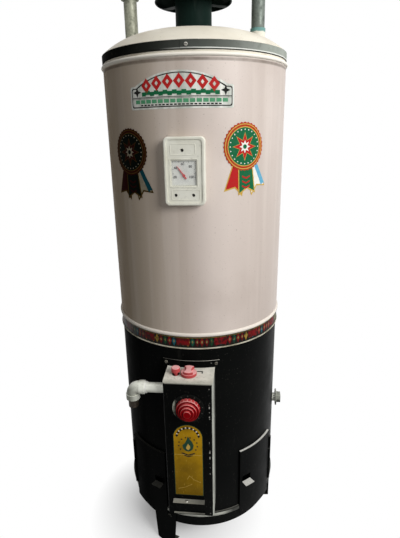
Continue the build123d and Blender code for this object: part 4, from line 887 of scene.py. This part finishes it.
def add_top_label():
    """Silver arched sticker with plain bands and lozenges."""
    gems = [lozenge(step * 20.5, 14 - (step / 3) ** 2 * 6, 20.5, 25) for step in range(-3, 4)]
    hearts = [lozenge(gem[1][0], gem[0][1], 6, 8) for gem in gems]
    ends = [star(4, 9, 3.6, (side * 82, -2)) for side in (-1, 1)]
    waves = [block(step * 8.4, -5.6 + (2.2 if step % 2 else 0), 8.4, 7) for step in range(-8, 9)]
    rules = [block(0, -11.2, 187, 1.2), block(0, -13.2, 187, 0.7)]
    bars = [block(step * 11.6, -18, 9.6, 6.4) for step in range(-7, 8)]
    dots = [block(step * 7.2, -24, 5, 2.4) for step in range(-10, 11)]
    sheets = (
        ("edge", [label_outline(0)], 0.2, ink_silver),
        ("line", [label_outline(3)], 0.35, ink_black),
        ("field", [label_outline(4.8)], 0.5, ink_silver),
        ("gems", gems, 0.65, ink_red),
        ("hearts", hearts, 0.8, ink_silver),
        ("ends", ends, 0.65, ink_black),
        ("wave", waves, 0.65, ink_green),
        ("rules", rules, 0.65, ink_black),
        ("bars", bars, 0.65, ink_leaf),
        ("dots", dots, 0.65, ink_black),
    )
    lay_all("top_label", on_drum(-2.2, 1.064), sheets)


def add_badge(name, azimuth, height, inks):
    """Round badge with a beaded rim, a star and three ribbon tails."""
    rim, gold, field, pale, sky, tail = inks
    sheets = []
    for index, (lean, ink) in enumerate(((-0.27, tail), (0.42, pale), (0.08, field))):
        root = (sin(lean) * 30, -30)
        sheets.append((f"tail_edge_{index}", [ribbon(lean, 58, 32, root)], 0.15 + 0.2 * index, gold))
        sheets.append((f"tail_{index}", [ribbon(lean, 53.5, 28, root)], 0.25 + 0.2 * index, ink))
    sheets += (
        ("tail_stripe", [ribbon(0.5, 50, 8, (24, -28))], 0.5, sky),
        ("tail_marks", [chevron(4, -52 - 9 * step, 9, 4, 3) for step in range(3)], 0.8, tail),
        ("edge", [star(36, 44, 42)], 0.9, rim),
        ("rim", ring(39, 40.6), 1.0, gold),
        ("ring", ring(34, 35.6), 1.1, gold),
        ("field", [circle(34)], 1.1, field),
        ("dots", [circle(1.2, spot, 10) for spot in circle(30.5, count=24)], 1.2, pale),
        ("star_edge", [star(8, 26, 12.5)], 1.2, gold),
        ("star", [star(8, 24, 11.4)], 1.3, tail),
        ("star_face", [star(8, 12, 6.4, start=0)], 1.4, pale),
        ("middle", [circle(4)], 1.5, field),
    )
    lay_all(name, on_drum(azimuth, height), sheets)


def add_badges():
    """Bright badge on the right, and on the left a copy in darker inks as painted shade."""
    add_badge("right_badge", 34.3, 0.966, (ink_orange, ink_gold, ink_green, ink_white, ink_blue, ink_red))
    # Painted shade: the left-hand badge's inks are darker, dull copies.
    dark, dull = rgb(22, 17, 13), 0.003
    tones = {
        "aged_rim": (54, 16, 12), "aged_gold": (84, 64, 26), "aged_green": (9, 16, 12),
        "aged_white": (150, 142, 122), "aged_blue": (20, 74, 84), "aged_red": (44, 10, 10),
    }
    painted_shade_inks = [print_ink(name, rgb(*tone), dark, dull) for name, tone in tones.items()]
    add_badge("left_badge", -35.6, 0.959, painted_shade_inks)


def add_front_plate():
    """Gold foil plate with a rounded head, creases drawn as painted highlight lines, a flame and small marks."""
    place = on_front(-2.5 * MM, cover_front_y, 0)
    radius, low, spring, border = 30, 236, 387, 1.2
    edge = plate_outline(radius + border, low - border, spring)
    lay("front_plate_edge", [edge], place, 0.15, ink_pine)
    lay("front_plate", [plate_outline(radius, low, spring)], place, 0.35, gold_foil(), thick=0.4)
    # Painted highlight lines along the creases in the foil.
    folds = stroke([(-4, 278), (1.5, 288), (10.7, 278), (25.5, 271)], 0.8)
    folds += stroke([(-24, 252), (-8, 257), (7, 266)], 0.8)
    arc = circle(23.5, (0, spring), 8, radians(10), radians(160))
    lights = circle(24, (0, spring), 7, radians(20), radians(140))
    sparks = []
    for step in range(10):
        angle = radians(-36 + 28 * step)
        sparks.append(lozenge(20 * cos(angle), 368 + 19 * sin(angle), 4.4, 4.4))
    flame = [
        (0, 390), (4, 383), (9, 376), (12, 367), (10, 358), (5, 353),
        (0, 351.5), (-5, 353), (-10, 358), (-12, 367), (-7, 372), (-3, 380),
    ]
    core = [(0, 372), (4, 366), (4.5, 360), (0, 355), (-4.5, 360), (-3, 365)]
    sheets = (
        ("crease", [block(0, 343, 2 * radius, 0.9)], 0.62, ink_gold),
        ("folds", folds, 0.62, ink_gold),
        ("marks", [lozenge(*spot, 6.4, 7.6) for spot in arc], 0.65, ink_black),
        ("lights", [circle(1.5, spot, 12) for spot in lights], 0.65, ink_white),
        ("sparks", sparks, 0.65, ink_black),
        ("flame", [flame], 0.65, ink_pine),
        ("core", [core], 0.8, ink_gold),
        ("chevrons", [chevron(0, 349, 14, 5, 3), chevron(0, 343, 9, 3.5, 2.5)], 0.65, ink_black),
    )
    lay_all("front_plate", place, sheets)


def add_gauge_ticks(place):
    """Graduations along the window of the thermometer's face."""
    half_width, head, foot = 21.3, 25.4, -9
    ticks = []
    for step in range(-22, 23):
        angle = radians(5 * step)
        way = Vector((sin(angle), cos(angle)))
        reach = half_width / max(abs(way.x), 1e-6)
        if way.y > 0:
            reach = min(reach, head / way.y)
        length, width = (2.6, 0.68) if step % 4 == 0 else (1.5, 0.4)
        if way.y * reach >= foot:
            ticks += stroke((way * (reach - length), way * reach), width)
    lay("gauge_ticks", ticks, place, 0.15, ink_black)


def add_gauge_numbers(place):
    """Plain numbers inside the graduations."""
    spots = {
        "20": (-16.6, -4.6), "40": (-15.4, 11.6), "60": (-2.4, 18.6),
        "80": (11.8, 14.0), "100": (13.2, -4.6),
    }
    for number, (across, up) in spots.items():
        name = f"gauge_number_{number}"
        text = bpy.data.curves.new(name, "FONT")
        text.body = number
        text.size = 6.2 * MM
        text.offset = 0.12 * MM
        text.align_x = "CENTER"
        text.extrude = 0.05 * MM
        keep(name, text, ink_black, place(across * MM, up * MM, 0.15 * MM), (pi / 2, 0, 0))


def add_gauge_ridges():
    """Raised frames on the thermometer's bezel."""
    middle = (gauge_low + gauge_high) / 2
    panels = (
        ("gauge_panel_top", -2.3, 38.9, 45, 19),
        ("gauge_panel_low", 1.3, -41.0, 52, 18),
        ("gauge_panel_face", -1.5, -2.5, 51, 50),
    )
    for name, across, up, width, height in panels:
        curve = bpy.data.curves.new(name, "CURVE")
        curve.dimensions = "3D"
        curve.bevel_depth = 0.55 * MM
        curve.bevel_resolution = 2
        spline = curve.splines.new("POLY")
        corners = rounded(width, height, 2.5)
        spline.points.add(len(corners) - 1)
        for point, (x, z) in zip(spline.points, corners):
            point.co = (middle.x + (across + x) * MM, gauge_low.y + 1.5 * MM, middle.z + (up + z) * MM, 1)
        spline.use_cyclic_u = True
        keep(name, curve, white_plastic)


def add_gauge_print():
    """Graduations and numbers on the thermometer's face, and ridges on its bezel."""
    place = on_front(needle_pivot.x, gauge_face_y, needle_pivot.z)
    add_gauge_ticks(place)
    add_gauge_numbers(place)
    add_gauge_ridges()


def add_control_marks():
    """Marks round the dial, the dash on the cover's top and the ledge's screw."""
    ticks = []
    for step in range(11):
        angle = radians(-135 + 27 * step)
        way = Vector((sin(angle), cos(angle)))
        ticks += stroke((way * 28.2, way * 31.2), 1.0)
    place = on_front(dial_centre.x, escutcheon_front_y, dial_centre.z)
    lay("dial_ticks", ticks, place, 0.12, ink_grey)
    dash = [block(0, 0, 12, 3.4), block(5, -4.4, 2.4, 6)]
    spot = Matrix.Translation((21 * MM, -204 * MM, cover_top_z))
    lay("cover_dash", dash, on_plane(spot), 0.2, ink_black)
    ledge_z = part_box("control_cover")[0].z + 47 * MM
    head = [(0, 1.9), (1.6, 1.75), (2.8, 1.2), (3.4, 0.4), (3.5, 0)]
    spot = Matrix.Translation((-8 * MM, cover_front_y - 6 * MM, ledge_z))
    lathe("ledge_screw", head, spot, zinc, 24)


def add_slot(name, matrix, length, lift):
    """Driver slot across a screw head, drawn as a black strip of painted shade."""
    lay(name, [block(0, 0, length, 0.9)], on_plane(matrix), lift, ink_black)


def add_screw_slots():
    """Driver slots of the band's screw and the cover's screws."""
    low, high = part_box("lid_band_screw")
    middle = (low + high) / 2
    azimuth = degrees(atan2(middle.x, -middle.y))
    add_slot("band_screw_slot", facing(azimuth, -low.y, middle.z), 4.6, 0.1)
    low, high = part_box("cover_screws")
    reach = 53 * MM
    angle = asin(reach / skirt_radius)
    for side in (-1, 1):
        place = facing(side * degrees(angle), -low.y / cos(angle), (low.z + high.z) / 2)
        add_slot(f"cover_screw_slot_{side + 1}", place, 4.4, 0.06)


def add_thread(name, centre, radius, low, high, material):
    """Helical thread ridge round an upright pipe end."""
    bm = bmesh.new()
    count = 40
    pitch = 1.8 * MM
    turns = (high - low) / pitch - 1
    root, crest = radius - 0.05 * MM, radius + 0.25 * MM
    profile = ((root, -pitch / 2), (crest, 0), (root, pitch / 2))
    rows = []
    for step in range(int(turns * count) + 1):
        angle = tau * step / count
        height = low + pitch * (0.5 + step / count)
        row = []
        for reach, offset in profile:
            x, y = centre[0] + reach * cos(angle), centre[1] + reach * sin(angle)
            row.append(bm.verts.new((x, y, height + offset)))
        rows.append(row)
    skin(bm, rows)
    keep_mesh(name, bm, material)


def add_threads():
    """Threads of the cold inlet and the gas inlet."""
    mounts = {mount["name"]: mount for mount in frame["record"]["mounts"]}
    for name, material in (("cold_inlet", zinc_pipe), ("gas_inlet", rusty_pipe)):
        mount = mounts[name]
        half = mount["dims"]["length_mm"] * MM / 2
        x, y, z = mount["pos_m"]
        add_thread(f"{name}_thread", (x, y), mount["dims"]["r_mm"] * MM, z - half, z + half, material)


def add_seam(name, radius, span, size, azimuth, material):
    """Folded lock seam, a low rounded ridge up the sheet."""
    width, rise = size
    bm = bmesh.new()
    profile = [(-0.5, 0), (-0.42, 0.7), (-0.25, 1), (0.25, 1), (0.42, 0.7), (0.5, 0)]
    rows = []
    for height in span:
        row = []
        for across, lift in profile:
            angle = radians(azimuth) + across * width / radius
            reach = radius + 0.05 * MM + lift * rise
            row.append(bm.verts.new((reach * sin(angle), -reach * cos(angle), height)))
        rows.append(row)
    skin(bm, rows)
    bm.faces.new(rows[0])
    bm.faces.new(rows[1])
    keep_mesh(name, bm, material)


def add_sheet_details():
    """Seams of the jacket and flue, the hood's rolled rim and the hinge rivets."""
    shell_paint = nodes["upper_shell"].data.materials[0]
    flue = nodes["flue_tube"].data.materials[0]
    jacket_seam, flue_seam = (11 * MM, 1.3 * MM), (7 * MM, 1.0 * MM)
    span = (shell_low_z + 9 * MM, shell_top_z - 7 * MM)
    add_seam("shell_seam", shell_radius, span, jacket_seam, 180, shell_paint)
    span = (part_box("base_ring")[1].z + 1 * MM, trim_low_z - 1 * MM)
    add_seam("skirt_seam", skirt_radius, span, jacket_seam, 180, black_gloss)
    span = (lid_top_z + 1 * MM, hood_low_z + 6 * MM)
    add_seam("flue_seam", flue_radius, span, flue_seam, 160, flue)
    rim = circle(1.3, (hood_radius / MM, 0), 12)
    rim.append(rim[0])
    lathe("hood_rim", rim, Matrix.Translation((0, 0, hood_low_z + 1.2 * MM)), flue, 64)
    dome = [(0, 1.1), (1.4, 0.95), (2.4, 0.5), (2.8, 0)]
    low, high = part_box("door_hinges")
    for side in (1, -1):
        azimuth = control_azimuth + side * hinge_azimuth
        for step in range(4):
            height = low.z + (high.z - low.z) * (0.1 + 0.8 * step / 3)
            place = facing(azimuth, skirt_radius + 1.5 * MM, height)
            lathe(f"hinge_rivet_{side + 1}_{step}", dome, place, black_gloss, 16)


# Camera, light and surroundings


def add_camera():
    """Camera at the photo's place, turned by yaw, pitch and roll."""
    yaw = Matrix.Rotation(-camera_yaw, 4, "Z")
    pitch = Matrix.Rotation(-camera_pitch, 4, "X")
    roll = Matrix.Rotation(-camera_roll, 4, "Z")
    data = bpy.data.cameras.new("camera")
    data.lens = camera_lens
    data.sensor_width = camera_sensor
    data.clip_end = 200
    camera = add_object("camera", data)
    camera.matrix_world = Matrix.Translation(camera_place) @ yaw @ pitch @ upright @ roll
    bpy.context.scene.camera = camera


def add_lamp(name, place, target, size, power):
    """Soft square lamp that points at a target."""
    data = bpy.data.lights.new(name, "AREA")
    data.energy = power
    data.size = size
    lamp = add_object(name, data)
    lamp.location = place
    way = Vector(target) - Vector(place)
    lamp.rotation_euler = way.to_track_quat("-Z", "Y").to_euler()


def see_white(tree, strength_dim):
    """Strength of 1 for what the camera, gloss and glass see, and a dim one for all other light."""
    path = tree.nodes.new("ShaderNodeLightPath")
    total = path.outputs["Is Camera Ray"]
    for name in ("Is Glossy Ray", "Is Transmission Ray"):
        node = tree.nodes.new("ShaderNodeMath")
        node.operation = "MAXIMUM"
        tree.links.new(total, node.inputs[0])
        tree.links.new(path.outputs[name], node.inputs[1])
        total = node.outputs[0]
    strength = tree.nodes.new("ShaderNodeMapRange")
    strength.inputs["To Min"].default_value = strength_dim
    strength.inputs["To Max"].default_value = 1.0
    tree.links.new(total, strength.inputs["Value"])
    return strength.outputs["Result"]


def add_stage():
    """White surroundings, and a pale floor that keeps the shadow near the object."""
    world = bpy.data.worlds.new("studio")
    bpy.context.scene.world = world
    world.use_nodes = True
    background = world.node_tree.nodes["Background"]
    background.inputs["Color"].default_value = (1, 1, 1, 1)
    world.node_tree.links.new(see_white(world.node_tree, world_light), background.inputs["Strength"])

    mesh = bpy.data.meshes.new("floor")
    corners = [(x, y, 0) for x, y in block(0, 0, 2 * floor_half, 2 * floor_half)]
    mesh.from_pydata(corners, [], [(0, 1, 2, 3)])
    floor = add_object("floor", mesh)
    paint = Paint("floor")
    paint.tree.nodes.remove(paint.shader)
    diffuse = paint.add("ShaderNodeBsdfDiffuse")
    paint.feed(diffuse.inputs["Color"], rgb(246, 246, 246))
    glow = paint.add("ShaderNodeEmission")
    paint.feed(glow.inputs["Strength"], see_white(paint.tree, floor_light))
    distance = paint.add("ShaderNodeVectorMath", operation="DISTANCE")
    paint.feed(distance.inputs[0], paint.add("ShaderNodeNewGeometry").outputs["Position"])
    paint.feed(distance.inputs[1], shadow_middle)
    mix = paint.add("ShaderNodeMixShader")
    paint.feed(mix.inputs[0], paint.spread(distance.outputs["Value"], shadow_full, shadow_gone))
    paint.feed(mix.inputs[1], diffuse.outputs[0])
    paint.feed(mix.inputs[2], glow.outputs[0])
    paint.feed(paint.tree.nodes["Material Output"].inputs["Surface"], mix.outputs[0])
    floor.data.materials.append(paint.material)

    for lamp in lamps:
        add_lamp(*lamp)


add_top_label()
add_badges()
add_front_plate()
add_gauge_print()
add_control_marks()
add_screw_slots()
add_threads()
add_sheet_details()
add_camera()
add_stage()
bpy.context.scene.view_settings.view_transform = "Standard"
